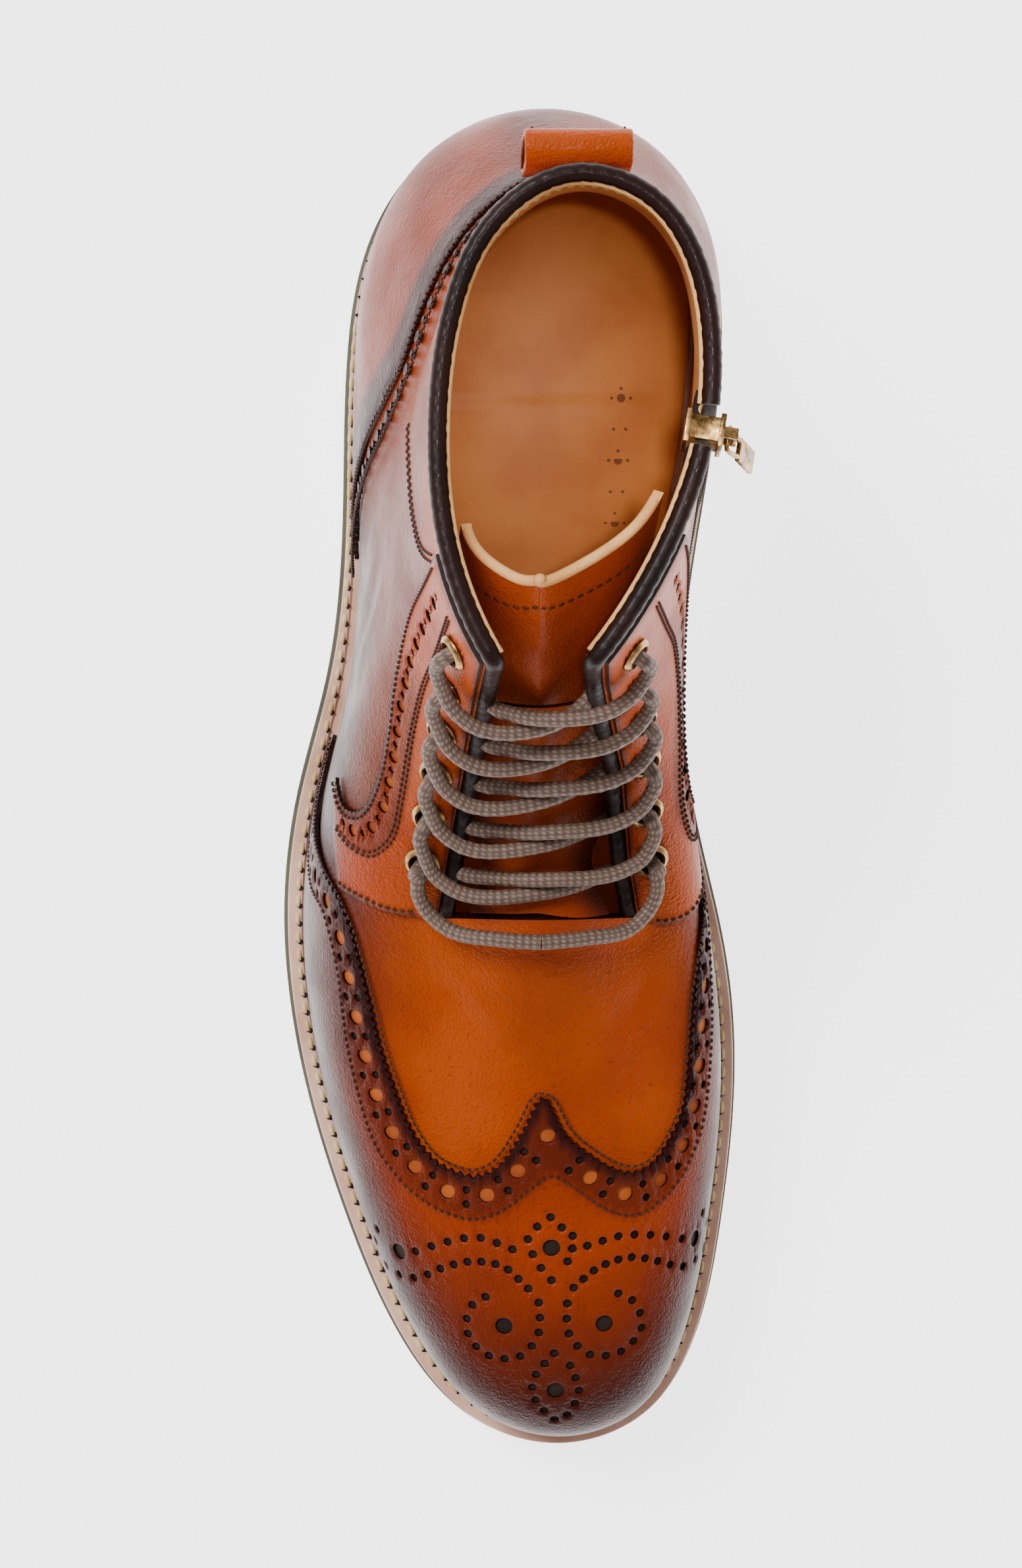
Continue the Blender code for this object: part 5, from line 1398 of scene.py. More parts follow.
# %% The tongue
def tongue_grid(extra, rows=46, columns=61):
    """Points of the tongue at extra depth: rows from the vamp to the top, columns across."""
    base = np.array(TONGUE)
    table = smooth_path(base * [0.25, 0, 0, 0, 0] + base * [0.75, 1, 1, 0.02, 0.02], rows)
    table = table * [1, 1, 1, 50, 50]
    share = np.linspace(-1, 1, columns)
    grid = []
    for middle, side, spread, deep, lean in table:
        depth = TONGUE_DEPTH * np.clip(deep, 0, 1) + extra
        level = middle + (side - middle) * abs(share) ** 1.6
        row = world(surface(share * spread + TONGUE_SHIFT, level)) - outward(share * spread, level) * depth
        row[:, 1] += TONGUE_LEAN * max(lean, 0) * np.cos(share * math.pi / 2)
        grid.append(row)
    return np.array(grid)


tongue_outer, tongue_inner = tongue_grid(0.0), tongue_grid(TONGUE_THICK)
rows, columns = tongue_outer.shape[:2]
across_share = abs(np.linspace(-1, 1, columns))[None, :] * np.ones((rows, 1))
up_share = np.linspace(0, 1, rows)[:, None] * np.ones((1, columns))
dark_sides = 0.7 * ease((across_share - 0.45) / 0.5)
tongue_burn = np.clip(0.15 + dark_sides - 0.2 * ease((up_share - 0.8) / 0.2), 0, 1)
tongue = slab("tongue_leather", tongue_outer, tongue_inner, [vamp_leather, cream_edge, lining_leather],
              {"burnish_and_shade": np.concatenate([tongue_burn.ravel(), tongue_burn.ravel()])})
boot_piece(tongue, "upper_leather", "tongue")
top_edge = (tongue_outer[-1] + tongue_inner[-1]) / 2
boot_piece(tube("tongue_raw_edge", top_edge[1:-1], 0.0012, 10, cream_edge), "upper_leather", "tongue")
seam_row = evened(tongue_outer[-5, 3:-3], 0.0023)
seam_up = np.tile(np.array([0.0, -0.35, 0.94]), (len(seam_row), 1))
boot_piece(thread_row("tongue_stitches", seam_row, seam_up, thread), "upper_leather", "tongue")

# Keeper: a short leather band across the tongue that holds the fifth pair of lace strands
KEEPER_HALF = 0.0095
KEEPER_WIDTH = 0.0050
KEEPER_THICK = 0.0012
keeper_row = int(rows * 0.60)
middle_column = columns // 2 + 1
keeper_middle = tongue_outer[keeper_row, middle_column]
keeper_up = tongue_outer[keeper_row + 2, middle_column] - keeper_middle
keeper_up /= np.linalg.norm(keeper_up)
keeper_out = np.cross(np.array([1.0, 0, 0]), keeper_up)
keeper_out *= np.sign(keeper_out[2])
grids = []
for extra in (KEEPER_THICK, 0.0):
    grid = []
    for x in np.linspace(-1, 1, 21):
        column = []
        for y in np.linspace(-1, 1, 7):
            rise = 0.0003 + 0.0016 * (1 - x * x) + extra - 0.0003 * (abs(y) == 1) * (extra > 0)
            column.append(keeper_middle + np.array([KEEPER_HALF * x, 0, 0]) + keeper_up * KEEPER_WIDTH * y / 2
                          + keeper_out * rise)
        grid.append(column)
    grids.append(np.array(grid))
keeper_burn = np.full(2 * 21 * 7, 0.25)
keeper = slab("tongue_keeper", grids[0], grids[1], [vamp_leather, binding_leather, binding_leather],
              {"burnish_and_shade": keeper_burn})
boot_piece(keeper, "upper_leather", "tongue")
print("tongue rows and columns:", rows, columns)

# %% Rolled bindings and the pale edge of the lining
def beside_facing(levels, side, distance):
    """Points beside the cut edge of a facing, at half the depth of its wall."""
    edge = facing_edge(levels, side)
    rim, normal = world(surface(edge, levels)), outward(edge, levels)
    run = np.gradient(rim, axis=0)
    across = np.column_stack([-run[:, 1], run[:, 0], np.zeros(len(run))])
    across *= np.sign(across[:, :1]) * side / np.linalg.norm(across, axis=1)[:, None]
    within = normal - across * (normal * across).sum(1)[:, None]
    share = np.linalg.norm(within, axis=1)[:, None]
    return rim - within / share**2 * WALL / 2 + across * distance


def softened(path, times=6):
    """A path with its corners eased, its ends kept."""
    path = np.array(path, float)
    for _ in range(times):
        path[1:-1] = (path[:-2] + 2 * path[1:-1] + path[2:]) / 4
    return path


def wrinkled(path, radius, sides, depth=0.06):
    """A radius grid with the fine cross wrinkles of a strip that was rolled over an edge."""
    run = np.arange(len(path))[:, None]
    around = np.arange(sides)[None, :] * 2 * np.pi / sides
    waves = np.sin(run * 1.9 + 2.0 * np.sin(around + run * 0.05)) * np.sin(run * 0.37 + 1.3 * around)
    return radius * (1 + depth * waves)


seat = BINDING_RADIUS + GAP
back = float(zip_turn(np.array([1.0]), -ZIP_SLOT / 2)[0])
front = float(zip_turn(np.array([1.0]), ZIP_SLOT / 2)[0])
for side, label, start in ((1, "lateral", back), (-1, "medial", front - 1)):
    tip = float(facing_edge(np.array([1.0]), side)[0])
    round_collar = np.linspace(start, tip, 160)
    ones = np.ones(len(round_collar))
    rim, rim_out = world(surface(round_collar, ones)), outward(round_collar, ones)
    path = list(rim - rim_out * WALL / 2 + [0, 0, seat - 0.0006])
    corner = path[-1] + (path[-1] - path[-2]) / np.linalg.norm(path[-1] - path[-2]) * seat * 0.6
    path.append(corner - [0, 0, seat * 0.5])
    low = float(throat_front[0 if side > 0 else -1, 1]) + 0.004
    levels = np.linspace(0.980, low, 60)
    path += list(beside_facing(levels, side, seat - 0.0004))
    path = softened(evened(path, 0.0009), 8)
    item = tube(f"binding_roll_{label}", path, wrinkled(path, 0.00205, 16), 16, binding_leather)
    boot_piece(item, "binding", f"binding_{label}")
    pale = rim - rim_out * (WALL + 0.0004) + [0, 0, 0.0004]
    item = tube(f"lining_edge_{label}", evened(pale, 0.0012), 0.0010, 10, cream_edge)
    boot_piece(item, "upper_leather", "upper")
    levels = np.linspace(0.985, low, 50)
    inward_edge = beside_facing(levels, side, 0.0012) - outward(facing_edge(levels, side), levels) * 0.0016
    item = tube(f"facing_raw_edge_{label}", evened(inward_edge, 0.0012), 0.0009, 8, hole_orange)
    boot_piece(item, "upper_leather", "upper")
    row = pace(np.column_stack([round_collar, ones - 0.045]), 0.0030)
    inside_row = skin(*row.T, -WALL - THREAD_SEAT)
    item = thread_row(f"lining_stitches_{label}", inside_row, -outward(*row.T), cream_thread)
    boot_piece(item, "upper_leather", "upper")
print("bindings: 2, each wrapped over the collar and down a facing")

# %% Eyelets
seat_height = FACE + EYELET_SEAT
EYELET_OUTLINE = (
    (EYELET_BORE, -WALL), (EYELET_BARREL, -WALL), (EYELET_BARREL, seat_height - 0.0004),
    (EYELET_FLANGE - 0.0002, seat_height - 0.0006), (EYELET_FLANGE, seat_height - 0.0003),
    (EYELET_FLANGE - 0.0001, seat_height), (EYELET_FLANGE - 0.0005, seat_height + 0.0004),
    (EYELET_FLANGE - 0.0011, seat_height + EYELET_RIM), (EYELET_BORE + 0.0002, seat_height + 0.0004),
    (EYELET_BORE, seat_height - 0.0003),
)
for side, label in ((1, "lateral"), (-1, "medial")):
    for row, (turn, level) in enumerate(eyelet_spots(side), 1):
        place = frame_on(float(turn), float(level))
        item = turned(f"eyelet_ring_{label}_{row}", EYELET_OUTLINE, [place], 36, brass)
        boot_piece(item, "brass", f"eyelet_{label}_{row}")
print("eyelets:", 2 * EYELET_COUNT)

# %% [markdown]
# ## The laces
#
# One lace of 3.5 mm runs from both ends of the lowest bar. Each end dives into an eyelet, passes under its
# facing, comes out at the facing's edge between two rows, crosses the throat and goes over the other facing
# into the next eyelet. The route is given point by point, in rows and in places across the throat, because no
# simulation threads a lace. The braid is real shape: two families of strands wind round the cord and cross,
# which makes the herringbone that the photograph shows.

# %% Route and braid
UNDER = -(WALL + GAP + LACE_RADIUS) + 0.0004
OVER = FACE + EYELET_SEAT + EYELET_RIM + GAP + LACE_RADIUS
LACE_ARCH = 0.0025
BAR_ARCH = 0.0085
# From an eyelet under its facing to the throat: place across, row from the eyelet, height
TUCK = (
    (1.00, 0.00, 0.0004), (0.99, 0.02, -0.0030), (0.92, 0.10, UNDER), (0.74, 0.26, UNDER),
    (0.56, 0.33, -0.0040),
)
# Over the throat to the next eyelet, for an end that comes from the inner and the outer facing
STRAND = (
    (0.34, -0.70, -0.0024), (0.00, -0.70, 0.0022), (-0.45, -0.62, OVER), (-0.68, -0.60, OVER),
    (-0.90, -0.52, OVER), (-1.05, -0.30, OVER), (-1.02, -0.10, OVER - 0.0006),
)
RETURN = (
    (-0.42, -0.66, -0.0020), (-0.25, -0.54, 0.0000), (0.05, -0.34, 0.0032), (0.45, -0.26, OVER),
    (0.66, -0.33, OVER), (0.88, -0.38, OVER), (1.05, -0.24, OVER), (1.02, -0.08, OVER - 0.0006),
)
BAR = (
    (-1.02, 0.96, OVER - 0.0006), (-1.07, 0.80, OVER), (-0.95, 0.62, OVER), (-0.72, 0.56, OVER),
    (-0.45, 0.54, OVER), (-0.20, 0.50, OVER), (0.00, 0.48, OVER), (0.20, 0.50, OVER), (0.45, 0.54, OVER),
    (0.72, 0.56, OVER), (0.95, 0.62, OVER), (1.07, 0.80, OVER), (1.02, 0.96, OVER - 0.0006),
)
BRAID_SIDES = 20
BRAID_STEP = 0.00042
BRAID_TURNS = 5
BRAID_PITCH = 0.0016
BRAID_DEPTH = 0.00012


def lacing_point(place, row, out, arch):
    """World points of the lacing: place -1 and 1 are the eyelets of a row, -0.5 and 0.5 the edges of
    the facings, and between the edges the lace spans the throat in a low arch."""
    place, row, out, arch = (np.asarray(v, float) for v in (place, row, out, arch))
    level = np.clip(lacing_level(row), 0.60, 0.995)
    sides = []
    for side in (1, -1):
        onto = np.maximum(-side * place - 0.5, 0) * 2 * EYELET_INSET * side
        turn = shift(facing_edge(level, side), level, onto)
        sides.append(world(surface(turn, level)) + outward(turn, level) * out[:, None])
    share = np.clip(place + 0.5, 0, 1)[:, None]
    point = sides[0] * (1 - share) + sides[1] * share
    lift = outward(np.zeros(len(place)), level)
    return point + lift * (arch[:, None] * 4 * share * (1 - share))


def lace_route(first):
    """Place, row, height and arch along one end of the lace; first is the facing it starts on."""
    half = [p for p in BAR if p[0] * first >= -1e-9]
    half = sorted(half, key=lambda p: p[0] * first)
    route = [(place, row, out, BAR_ARCH) for place, row, out in half]
    side = first
    for row in range(1, EYELET_COUNT + 1):
        arch = LACE_ARCH + (BAR_ARCH - LACE_ARCH) / (row + 1)
        last = row == EYELET_COUNT
        for place, step, out in (TUCK[:3] if last else TUCK):
            route.append((place * side, row + step * (0.4 if last else 1), out, 0.0))
        if last:
            break
        side = -side
        for place, step, out in (STRAND if side < 0 else RETURN):
            route.append((place, row + 1 + step, out, arch))
    return np.array(route)


def rounded_path(points, step, times=4):
    """A path of evenly spaced points on a smooth curve that keeps close to its given ones."""
    path = evened(smooth_path(points, 30 * len(points)), step)
    return softened(path, times)


def braided(name, path):
    """A round braided cord, with a number called fleck where its light threads show."""
    stations = np.arange(len(path))[:, None] * BRAID_STEP / BRAID_PITCH * np.pi
    around = np.arange(BRAID_SIDES)[None, :] * 2 * np.pi / BRAID_SIDES
    first = np.sin(BRAID_TURNS * around + stations)
    second = np.sin(BRAID_TURNS * around - stations)
    radius = LACE_RADIUS - BRAID_DEPTH + BRAID_DEPTH * np.maximum(first, second)
    fleck = ease((first * second - 0.25) / 0.5) * 0.8
    return tube(name, path, radius, BRAID_SIDES, waxed_cord, {"fleck": fleck.ravel()})


lace_nodes = [f"lace_{row}" for row in range(1, EYELET_COUNT + 1)]
for first, label in ((1, "left_end"), (-1, "right_end")):
    route = lace_route(first)
    points = lacing_point(*route.T)
    path = rounded_path(points, BRAID_STEP)
    boot_piece(braided(f"lace_{label}", path), "lace", *lace_nodes)
    run = np.linalg.norm(np.diff(path, axis=0), axis=1).sum()
    print("lace", label, "runs", round(run, 3), "m")

# %% [markdown]
# ## Pull loop and side zip
#
# The pull loop is one strip of leather, folded over and sewn behind the collar. The zip has woven
# tapes, two rows of separate teeth that interlock, a slider and a wire pull. The pull swings, so it
# rides on its own body. The slider and pull take their form from the solids, with rounded edges from
# a bevel on a copy, because sharp-edged cast metal would look like cardboard at this distance.

# %% Pull loop
LOOP_WIDTH = 0.023
LOOP_THICK = 0.0016
LOOP_DEPTH = 0.0085
LOOP_ACROSS = 0.011
LOOP_SEAT = 0.0007
LOOP_TURN = 0.52
LOOP_LEVELS = (0.74, 0.965)
loop_levels = np.linspace(*LOOP_LEVELS, 12)
loop_wall = world(surface(np.full(12, LOOP_TURN), loop_levels))
loop_y, loop_z = loop_wall[:, 1] + LOOP_SEAT + LOOP_THICK / 2, loop_wall[:, 2]
fold_radius = (LOOP_DEPTH - LOOP_THICK) / 2
fold_angles = np.radians(np.linspace(15, 165, 11))
fold = list(zip(loop_y[-1] + fold_radius * (1 - np.cos(fold_angles)),
                loop_z[-1] + fold_radius * np.sin(fold_angles)))
loop_back = loop_y[-1] + 2 * fold_radius
outer = [(loop_back, loop_z[-1]), (loop_back, loop_z[-1] * 0.75 + loop_z[0] * 0.25),
         (loop_back, (loop_z[-1] + loop_z[0]) / 2),
         ((loop_back + loop_y[1]) / 2 + 0.6 * fold_radius, (loop_z[-1] + 3 * loop_z[0]) / 4 + LOOP_DEPTH / 4),
         (loop_y[1] + 1.2 * fold_radius, loop_z[0] + LOOP_DEPTH / 2)]
centre = np.array(list(zip(loop_y, loop_z)) + fold + outer)
ahead_line = np.roll(centre, -1, 0) - np.roll(centre, 1, 0)
ahead_line /= np.linalg.norm(ahead_line, axis=1)[:, None]
normal_line = np.stack([ahead_line[:, 1], -ahead_line[:, 0]], 1)
LOOP_PROFILE = ((-1.0, -0.55), (-1.0, 0.55), (-0.975, 0.9), (-0.94, 1.0), (0.94, 1.0), (0.975, 0.9),
                (1.0, 0.55), (1.0, -0.55), (0.975, -0.9), (0.94, -1.0), (-0.94, -1.0), (-0.975, -0.9))
points = []
for middle, aside in zip(centre, normal_line):
    for x, thick in LOOP_PROFILE:
        y, z = middle - aside * thick * LOOP_THICK / 2
        points.append((LOOP_ACROSS + x * LOOP_WIDTH / 2, y, z))
loop_burn = np.repeat(0.05 + 0.6 * ease((loop_wall[-1, 2] - 0.004 - centre[:, 1]) / 0.02), len(LOOP_PROFILE))
loop = make("loop_leather", points, ring_faces(len(centre), len(LOOP_PROFILE), closed=True), [vamp_leather],
            sharp=50.0, numbers={"burnish_and_shade": loop_burn})
boot_piece(loop, "upper_leather", "pull_loop")
for number, x in enumerate((-0.86, 0.86)):
    across, proud = LOOP_ACROSS + x * LOOP_WIDTH / 2, LOOP_THICK / 2 + THREAD_SEAT
    back_run = np.array([(across, y + proud, z) for y, z in outer])
    row = evened(back_run, 0.0018)
    up = np.tile(np.array([0.0, 1.0, 0.0]), (len(row), 1))
    boot_piece(thread_row(f"loop_stitches_{number + 1}", row, up, thread), "upper_leather", "pull_loop")

# %% Zip tapes, teeth, slider and pull
ZIP_TAPE_WIDTH = 0.022
ZIP_TAPE_THICK = 0.0008
ZIP_TOP = 0.937
TOOTH_PITCH = 0.0014
tape_levels = np.linspace(ZIP[0][0] - 0.02, ZIP_TOP, 90)
offsets = np.linspace(-ZIP_TAPE_WIDTH / 2, ZIP_TAPE_WIDTH / 2, 13)
tape_turns = np.stack([zip_turn(tape_levels, float(offset)) for offset in offsets], 1)
tape_rows = np.broadcast_to(tape_levels[:, None], tape_turns.shape)
tape_face, tape_out = world(surface(tape_turns, tape_rows)), outward(tape_turns, tape_rows)
tape_grid = [tape_face - tape_out * depth for depth in (WALL + GAP, WALL + GAP + ZIP_TAPE_THICK)]
tape = slab("zip_tape_cloth", tape_grid[0], tape_grid[1], [zip_cloth] * 3)
boot_piece(tape, "zip_tape", "zip_tape")
tooth_levels = np.linspace(ZIP[0][0] + 0.02, ZIP_TOP, 80)
tooth_line = pace(np.column_stack([zip_turn(tooth_levels), tooth_levels]), TOOTH_PITCH)
tooth_base = world(surface(*tooth_line.T)) - outward(*tooth_line.T) * (WALL - 0.0009)
tooth_up = outward(*tooth_line.T)
tooth_run = np.gradient(tooth_base, axis=0)
tooth_run /= np.linalg.norm(tooth_run, axis=1)[:, None]
tooth_side = np.cross(tooth_run, tooth_up)
points, faces = [], []
TOOTH = ((-0.0004, -0.5), (0.0024, -0.5), (0.0026, -0.25), (0.0026, 0.25), (0.0024, 0.5), (-0.0004, 0.5))
for number in range(len(tooth_line)):
    hand = 1 if number % 2 else -1
    base = len(points)
    for high in (-0.0008, 0.0008):
        for reach, along in TOOTH:
            points.append(tooth_base[number] + tooth_side[number] * hand * reach + tooth_up[number] * high
                          + tooth_run[number] * along * TOOTH_PITCH * 0.62)
    count = len(TOOTH)
    faces += [tuple(base + i for i in range(count)), tuple(base + count + i for i in range(count))[::-1]]
    faces += [(base + i, base + (i + 1) % count, base + count + (i + 1) % count, base + count + i)
              for i in range(count)]
boot_piece(make("zip_teeth_rows", points, faces, [brass], sharp=20.0), "brass", "zip_teeth")


def softened_copy(node, name, width, body):
    """A copy of a solid with small rounded edges, which takes its place in the picture."""
    source = frame["nodes"][node]
    source = source if hasattr(source, "data") else bpy.data.objects[node]
    item = link(bpy.data.objects.new(name, source.data.copy()))
    item.matrix_world = source.matrix_world.copy()
    item.data.materials.clear()
    item.data.materials.append(brass)
    shape = bmesh.new()
    shape.from_mesh(item.data)
    bmesh.ops.remove_doubles(shape, verts=shape.verts, dist=2e-5)
    bmesh.ops.dissolve_limit(shape, angle_limit=math.radians(3), verts=shape.verts, edges=shape.edges)
    sharp = [e for e in shape.edges if len(e.link_faces) == 2 and e.calc_face_angle(0) > math.radians(35)]
    bmesh.ops.bevel(shape, geom=sharp, offset=width, segments=2, profile=0.5, affect="EDGES",
                    clamp_overlap=True)
    shape.to_mesh(item.data)
    shape.free()
    item.data.shade_smooth()
    item.data.set_sharp_from_angle(angle=math.radians(40))
    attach(item, body)
    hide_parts(node)
    return item


def sewn_on_upper(name, row, pitch=STITCH_PITCH):
    boot_piece(stitches(name, row, THREAD_SEAT, thread, pitch), "upper_leather", "upper")


softened_copy("zip_slider", "zip_slider_cast", 0.00022, "boot")
softened_copy("zip_pull", "zip_pull_wire", 0.00018, "zip_pull")
zip_sides = ((ZIP_SLOT / 2 + 0.0018, "front"), (ZIP_SLOT / 2 + 0.0062, "front_far"),
             (-ZIP_SLOT / 2 - 0.0018, "back"))
for distance, word in zip_sides:
    levels = np.linspace(ZIP[0][0] + 0.01, 0.975, 120)
    sewn_on_upper(f"zip_stitches_{word}", np.column_stack([zip_turn(levels, distance), levels]))
QUARTER_SEAM = ((0.357, 0.700), (0.320, 0.790), (0.286, 0.870), (0.258, 0.925), (0.240, 0.965))
seam = pace(np.array(QUARTER_SEAM), EDGE_STEP)
for number, distance in enumerate((0.0, 0.0016)):
    sewn_on_upper(f"quarter_seam_{number + 1}", offset_line(seam, distance), 0.0019)
back_rows = np.column_stack([np.full(40, 0.5), np.linspace(0.71, 0.97, 40)])
for number, distance in enumerate((-0.0016, 0.0016)):
    sewn_on_upper(f"back_seam_{number + 1}", offset_line(back_rows, distance), 0.0021)
print("zip teeth:", len(tooth_line))

# %% [markdown]
# ## Welt, sole and insole
#
# Under the upper lie four flat layers: the welt, a midsole, the rubber outsole and inside the boot the
# insole. Each is the outline of the sole, moved in by its own margin and rounded at its edges, so one
# tool makes them all from short lists of margins and heights. The welt's stitches run along the
# strip that shows outside the upper, with a dark hole beside each, where the awl went through.

# %% Layers of the sole
FOREFOOT_START = 0.475 * SOLE_LENGTH
GROOVE_WIDTH = 0.0042
GROOVE_PITCH = 0.0125
GROOVE_TURN = 14.0
GROOVE_INNER = 0.007
GROOVE_CENTRE = 0.004
GROOVE_END = 0.965
WELT_STITCH = 0.0042
WELT_SEAM = 0.0031
WELT_AWL = 0.0026
WELT_THREAD = 0.00052
SEAM_END = 0.110


def midsole_top(along):
    return welt_height(along) - WELT_THICK - LAYER_GAP


def outsole_top(along):
    return midsole_top(along) - MIDSOLE_THICK - LAYER_GAP


def outsole_bottom(along):
    lugs = ease((along - FOREFOOT_START) / (0.03 * SOLE_LENGTH))
    return outsole_top(along) - OUTSOLE_THICK - LUG_DEPTH * lugs


def layer_ring(loop, height, stations):
    """World points of one ring: matching outer and inner points at stations from toe to heel."""
    tip, end = np.argmax(loop[:, 0]), np.argmin(loop[:, 0])
    outer = np.roll(loop, -tip, 0)[: (end - tip) % len(loop) + 1]
    inner = np.roll(loop[::-1], -(len(loop) - 1 - tip), 0)[: (tip - end) % len(loop) + 1]
    share = (1 - np.cos(np.linspace(0, np.pi, stations))) / 2
    along = outer[0, 0] + (outer[-1, 0] - outer[0, 0]) * share
    sides = []
    for half in (outer, inner):
        order = np.argsort(half[:, 0])
        sides.append(np.interp(along, half[order, 0], half[order, 1]))
    up = height(along)
    ring = [(along[0], (sides[0][0] + sides[1][0]) / 2, up[0])]
    ring += list(zip(along[1:-1], sides[0][1:-1], up[1:-1]))
    ring += [(along[-1], (sides[0][-1] + sides[1][-1]) / 2, up[-1])]
    ring += list(zip(along[-2:0:-1], sides[1][-2:0:-1], up[-2:0:-1]))
    return world(np.array(ring))


def layer(name, base, rings, stuff, stations=130):
    """A closed layer from rings of (margin, height function), top ring first."""
    grids = [layer_ring(resample(inset(base, margin), OUTLINE_STEPS), height, stations)
             for margin, height in rings]
    count = len(grids[0])
    faces = []
    for i in range(len(grids) - 1):
        for k in range(count):
            faces.append((i * count + k, i * count + (k + 1) % count, (i + 1) * count + (k + 1) % count,
                          (i + 1) * count + k))
    for start in (0, (len(grids) - 1) * count):
        for i in range(count // 2):
            corners = [start + i, start + i + 1, start + (count - i - 1) % count, start + (count - i) % count]
            faces.append(tuple(dict.fromkeys(corners)))
    return make(name, np.vstack(grids), faces, [stuff], sharp=45.0)


def lifted(height, by):
    return lambda along: height(along) + by


ROUND = 0.0005
sole_edge = (
    (MIDSOLE_MARGIN + ROUND, midsole_top), (MIDSOLE_MARGIN, lifted(midsole_top, -ROUND)),
    (MIDSOLE_MARGIN, lifted(midsole_top, ROUND - MIDSOLE_THICK)),
    (MIDSOLE_MARGIN + ROUND, lifted(midsole_top, -MIDSOLE_THICK)),
)
boot_piece(layer("midsole_rubber", EDGE, sole_edge, rubber), "sole", "midsole")
out_edge = ((ROUND, outsole_top), (0.0, lifted(outsole_top, -ROUND)), (0.0, lifted(outsole_bottom, ROUND)),
            (ROUND, outsole_bottom))
tread = layer("outsole_rubber", EDGE, out_edge, rubber)
points, faces = [], []
BOX = ((0, 1, 3, 2), (4, 5, 7, 6), (0, 1, 5, 4), (2, 3, 7, 6), (0, 2, 6, 4), (1, 3, 7, 5))
for along in np.arange(FOREFOOT_START + 1.2 * GROOVE_PITCH, GROOVE_END * SOLE_LENGTH, GROOVE_PITCH):
    reach = np.array([along - GROOVE_PITCH / 4, along + GROOVE_PITCH / 4])
    low = float(outsole_bottom(reach).max())
    for side in (-1, 1):
        place = Matrix.Translation(world((along, GROOVE_CENTRE, 0.0)))
        place = place @ Matrix.Rotation(math.radians(-GROOVE_TURN * side), 4, "Z")
        base = len(points)
        points += [place @ Vector((x * side, y, z)) for x in (GROOVE_INNER, SOLE_WIDTH)
                   for y in (-GROOVE_WIDTH / 2, GROOVE_WIDTH / 2)
                   for z in (low - GROOVE_PITCH, low + LUG_DEPTH)]
        faces += [tuple(base + i for i in face) for face in BOX]
cutter = make("groove_cutter", points, faces, [rubber])
cut = tread.modifiers.new("grooves", "BOOLEAN")
cut.operation, cut.solver, cut.object = "DIFFERENCE", "EXACT", cutter
bpy.context.view_layer.update()
cut_mesh = bpy.data.meshes.new_from_object(tread.evaluated_get(bpy.context.evaluated_depsgraph_get()))
tread.modifiers.clear()
tread.data = cut_mesh
tread.data.set_sharp_from_angle(angle=math.radians(35))
bpy.data.objects.remove(cutter)
boot_piece(tread, "sole", "outsole")
for material_slot in bpy.data.objects["heel"].material_slots:
    material_slot.material = rubber

insole_top = lifted(welt_height, GAP + INSOLE_THICK)
insole_edge = ((ROUND, insole_top), (0.0, lifted(insole_top, -ROUND)), (0.0, lifted(welt_height, GAP)))
insole_loop = resample(inset(FEATHER, WALL + 4 * GAP), OUTLINE_STEPS)
boot_piece(layer("insole_leather_sock", insole_loop, insole_edge, insole_leather), "insole", "insole")

# %% Welt, its stitches and holes
welt_outer = resample(inset(EDGE, WELT_MARGIN), OUTLINE_STEPS)
welt_inner = resample(inset(FEATHER, WALL + WELT_INSIDE), OUTLINE_STEPS)
WELT_RING = (
    ("outer", ROUND, 0.0), ("outer", ROUND * 0.3, -ROUND * 0.3), ("outer", 0.0, -ROUND),
    ("outer", 0.0, ROUND - WELT_THICK), ("outer", ROUND, -WELT_THICK), ("inner", 0.0, -WELT_THICK),
    ("inner", 0.0, 0.0), ("foot", -0.0001, 0.0), ("foot", -0.0006, -0.0007), ("foot", -0.0018, -0.0007),
    ("foot", -0.0023, 0.0),
)
bases = {"outer": welt_outer, "inner": welt_inner, "foot": FEATHER}
grid = []
for base, margin, up in WELT_RING:
    loop = resample(inset(bases[base], margin), OUTLINE_STEPS)[::2]
    grid.append(world(np.column_stack([loop, welt_height(loop[:, 0]) + up])))
grid = np.stack(grid, 1)
welt = make("welt_leather_ring", grid.reshape(-1, 3), ring_faces(len(grid), grid.shape[1], closed=True),
            [welt_leather], sharp=40.0)
boot_piece(welt, "welt", "welt")


def welt_run(distance, pitch):
    """World points at a pitch along the welt, distance outside the foot of the upper."""
    loop = inset(FEATHER, -distance)
    closed = np.vstack([loop, loop[:1]])
    run = run_along(closed)
    plan = read_at(np.linspace(0, run[-1], int(run[-1] / pitch), endpoint=False), run, closed)
    return world(np.column_stack([plan, welt_height(plan[:, 0])]))


# The row is sewn from one side of the heel round the toe to the other
stitch_points = welt_run(WELT_SEAM, WELT_STITCH) + [0, 0, -0.0001]
behind = np.flatnonzero(stitch_points[:, 1] >= SEAM_END)
ordered = np.vstack([stitch_points[behind[-1] + 1:], stitch_points[:behind[0]]])
ups = np.tile((0.0, 0.0, 1.0), (len(ordered), 1))
item = thread_row("welt_stitches", ordered, ups, cream_thread, WELT_THREAD, 0.80)
boot_piece(item, "welt", "welt")
points, faces = [], []
HOLE_SHAPE = ((0.0, -0.0008), (0.0011, 0.0), (0.0, 0.0008), (-0.0007, 0.0))
hole_points = welt_run(WELT_AWL, WELT_STITCH)
hole_run = np.roll(hole_points, -1, 0) - np.roll(hole_points, 1, 0)
hole_run /= np.linalg.norm(hole_run, axis=1)[:, None]
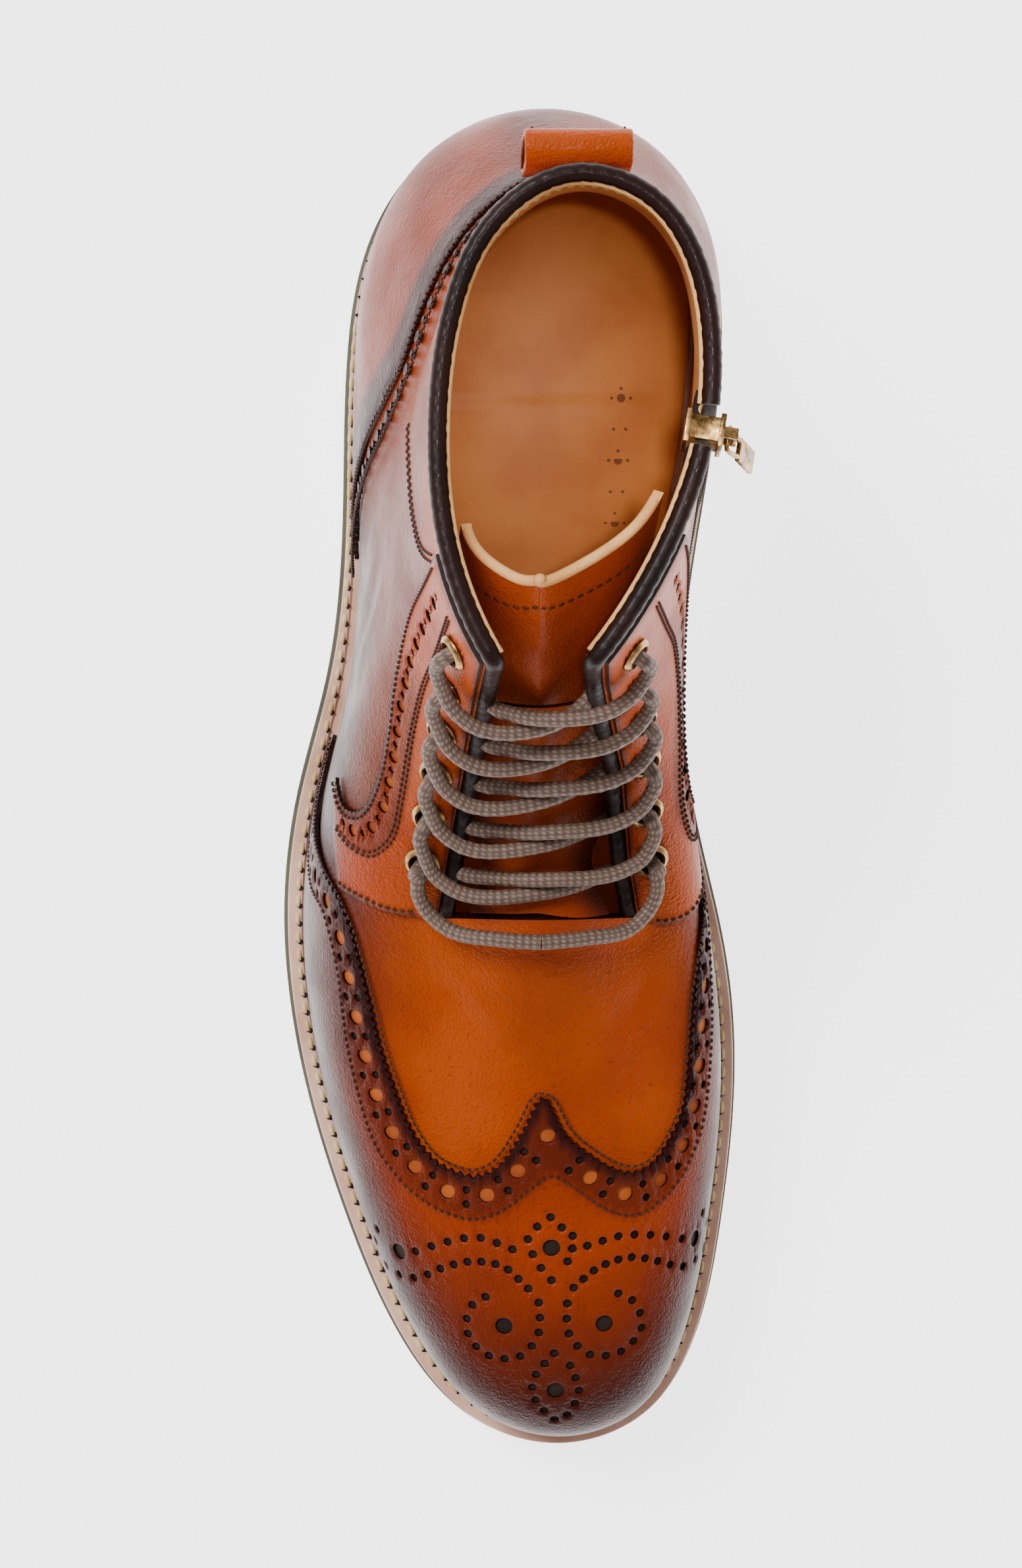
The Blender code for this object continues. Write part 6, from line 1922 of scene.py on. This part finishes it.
for place, along in zip(hole_points, hole_run):
    side_way = np.cross(along, (0, 0, 1.0))
    middle = np.array([0.004, 0.02, place[2]])
    side_way = side_way * np.sign(np.dot(side_way, place - middle))
    base = len(points)
    for high in (-0.0009, 0.00012):
        points += [place + side_way * x + along * y + np.array([0, 0, high]) for x, y in HOLE_SHAPE]
    faces += [(base, base + 1, base + 2, base + 3), (base + 7, base + 6, base + 5, base + 4)]
    faces += [(base + i, base + (i + 1) % 4, base + 4 + (i + 1) % 4, base + 4 + i) for i in range(4)]
boot_piece(make("welt_awl_holes", points, faces, [hole_shade], sharp=20.0), "welt", "welt")

# %% Punched column on the insole
MOTIF_STEP = 0.0072
MOTIF_START = (0.066, 0.0250)
MOTIF_LEAN = -0.045
MOTIF_COUNT = 9
RING_RADIUS = 0.0010
places = []
for number in range(MOTIF_COUNT):
    along = MOTIF_START[0] + number * MOTIF_STEP
    across = MOTIF_START[1] + MOTIF_LEAN * number * MOTIF_STEP
    if number % 2:
        places += [(along, across - 0.0014, 0.0004), (along, across + 0.0014, 0.0004)]
    else:
        places += [(along, across, RING_RADIUS), (along - 0.0022, across, 0.0004),
                   (along, across - 0.0022, 0.0004), (along, across + 0.0022, 0.0004)]
points, faces = [], []
for along, across, radius in places:
    centre = world(np.array([along, across, float(insole_top(np.array([along]))[0])]))
    base = len(points)
    for high, grow in ((0.00004, 1.0), (-0.0004, 0.8)):
        for k in range(12):
            angle = 2 * math.pi * k / 12
            wide = radius * grow
            points.append(centre + np.array([wide * math.cos(angle), wide * math.sin(angle), high]))
    faces += [tuple(range(base, base + 12)), tuple(range(base + 12, base + 24))[::-1]]
    faces += [(base + k, base + (k + 1) % 12, base + 12 + (k + 1) % 12, base + 12 + k) for k in range(12)]
boot_piece(make("insole_dots", points, faces, [dot_shade], sharp=30.0), "insole", "insole")
print("welt stitches:", len(ordered), "insole dots:", len(places))

# %% [markdown]
# ## The floor
#
# The studio floor is one large white sheet that runs out of the picture. It isn't part of the boot.

# %% Floor and closing
FLOOR_GLOW = 2.8
floor_stuff = bpy.data.materials.new("white_floor")
floor_stuff.use_nodes = True
floor_shader = floor_stuff.node_tree.nodes["Principled BSDF"]
floor_shader.inputs["Base Color"].default_value = (0.9, 0.9, 0.9, 1.0)
floor_shader.inputs["Roughness"].default_value = 0.9
floor_shader.inputs["Emission Color"].default_value = (1.0, 1.0, 1.0, 1.0)
floor_shader.inputs["Emission Strength"].default_value = FLOOR_GLOW
FLOOR_REACH = 4.0
floor = make("studio_floor", [(-FLOOR_REACH, -FLOOR_REACH, 0), (FLOOR_REACH, -FLOOR_REACH, 0),
                              (FLOOR_REACH, FLOOR_REACH, 0), (-FLOOR_REACH, FLOOR_REACH, 0)],
             [(0, 1, 2, 3)], [floor_stuff])
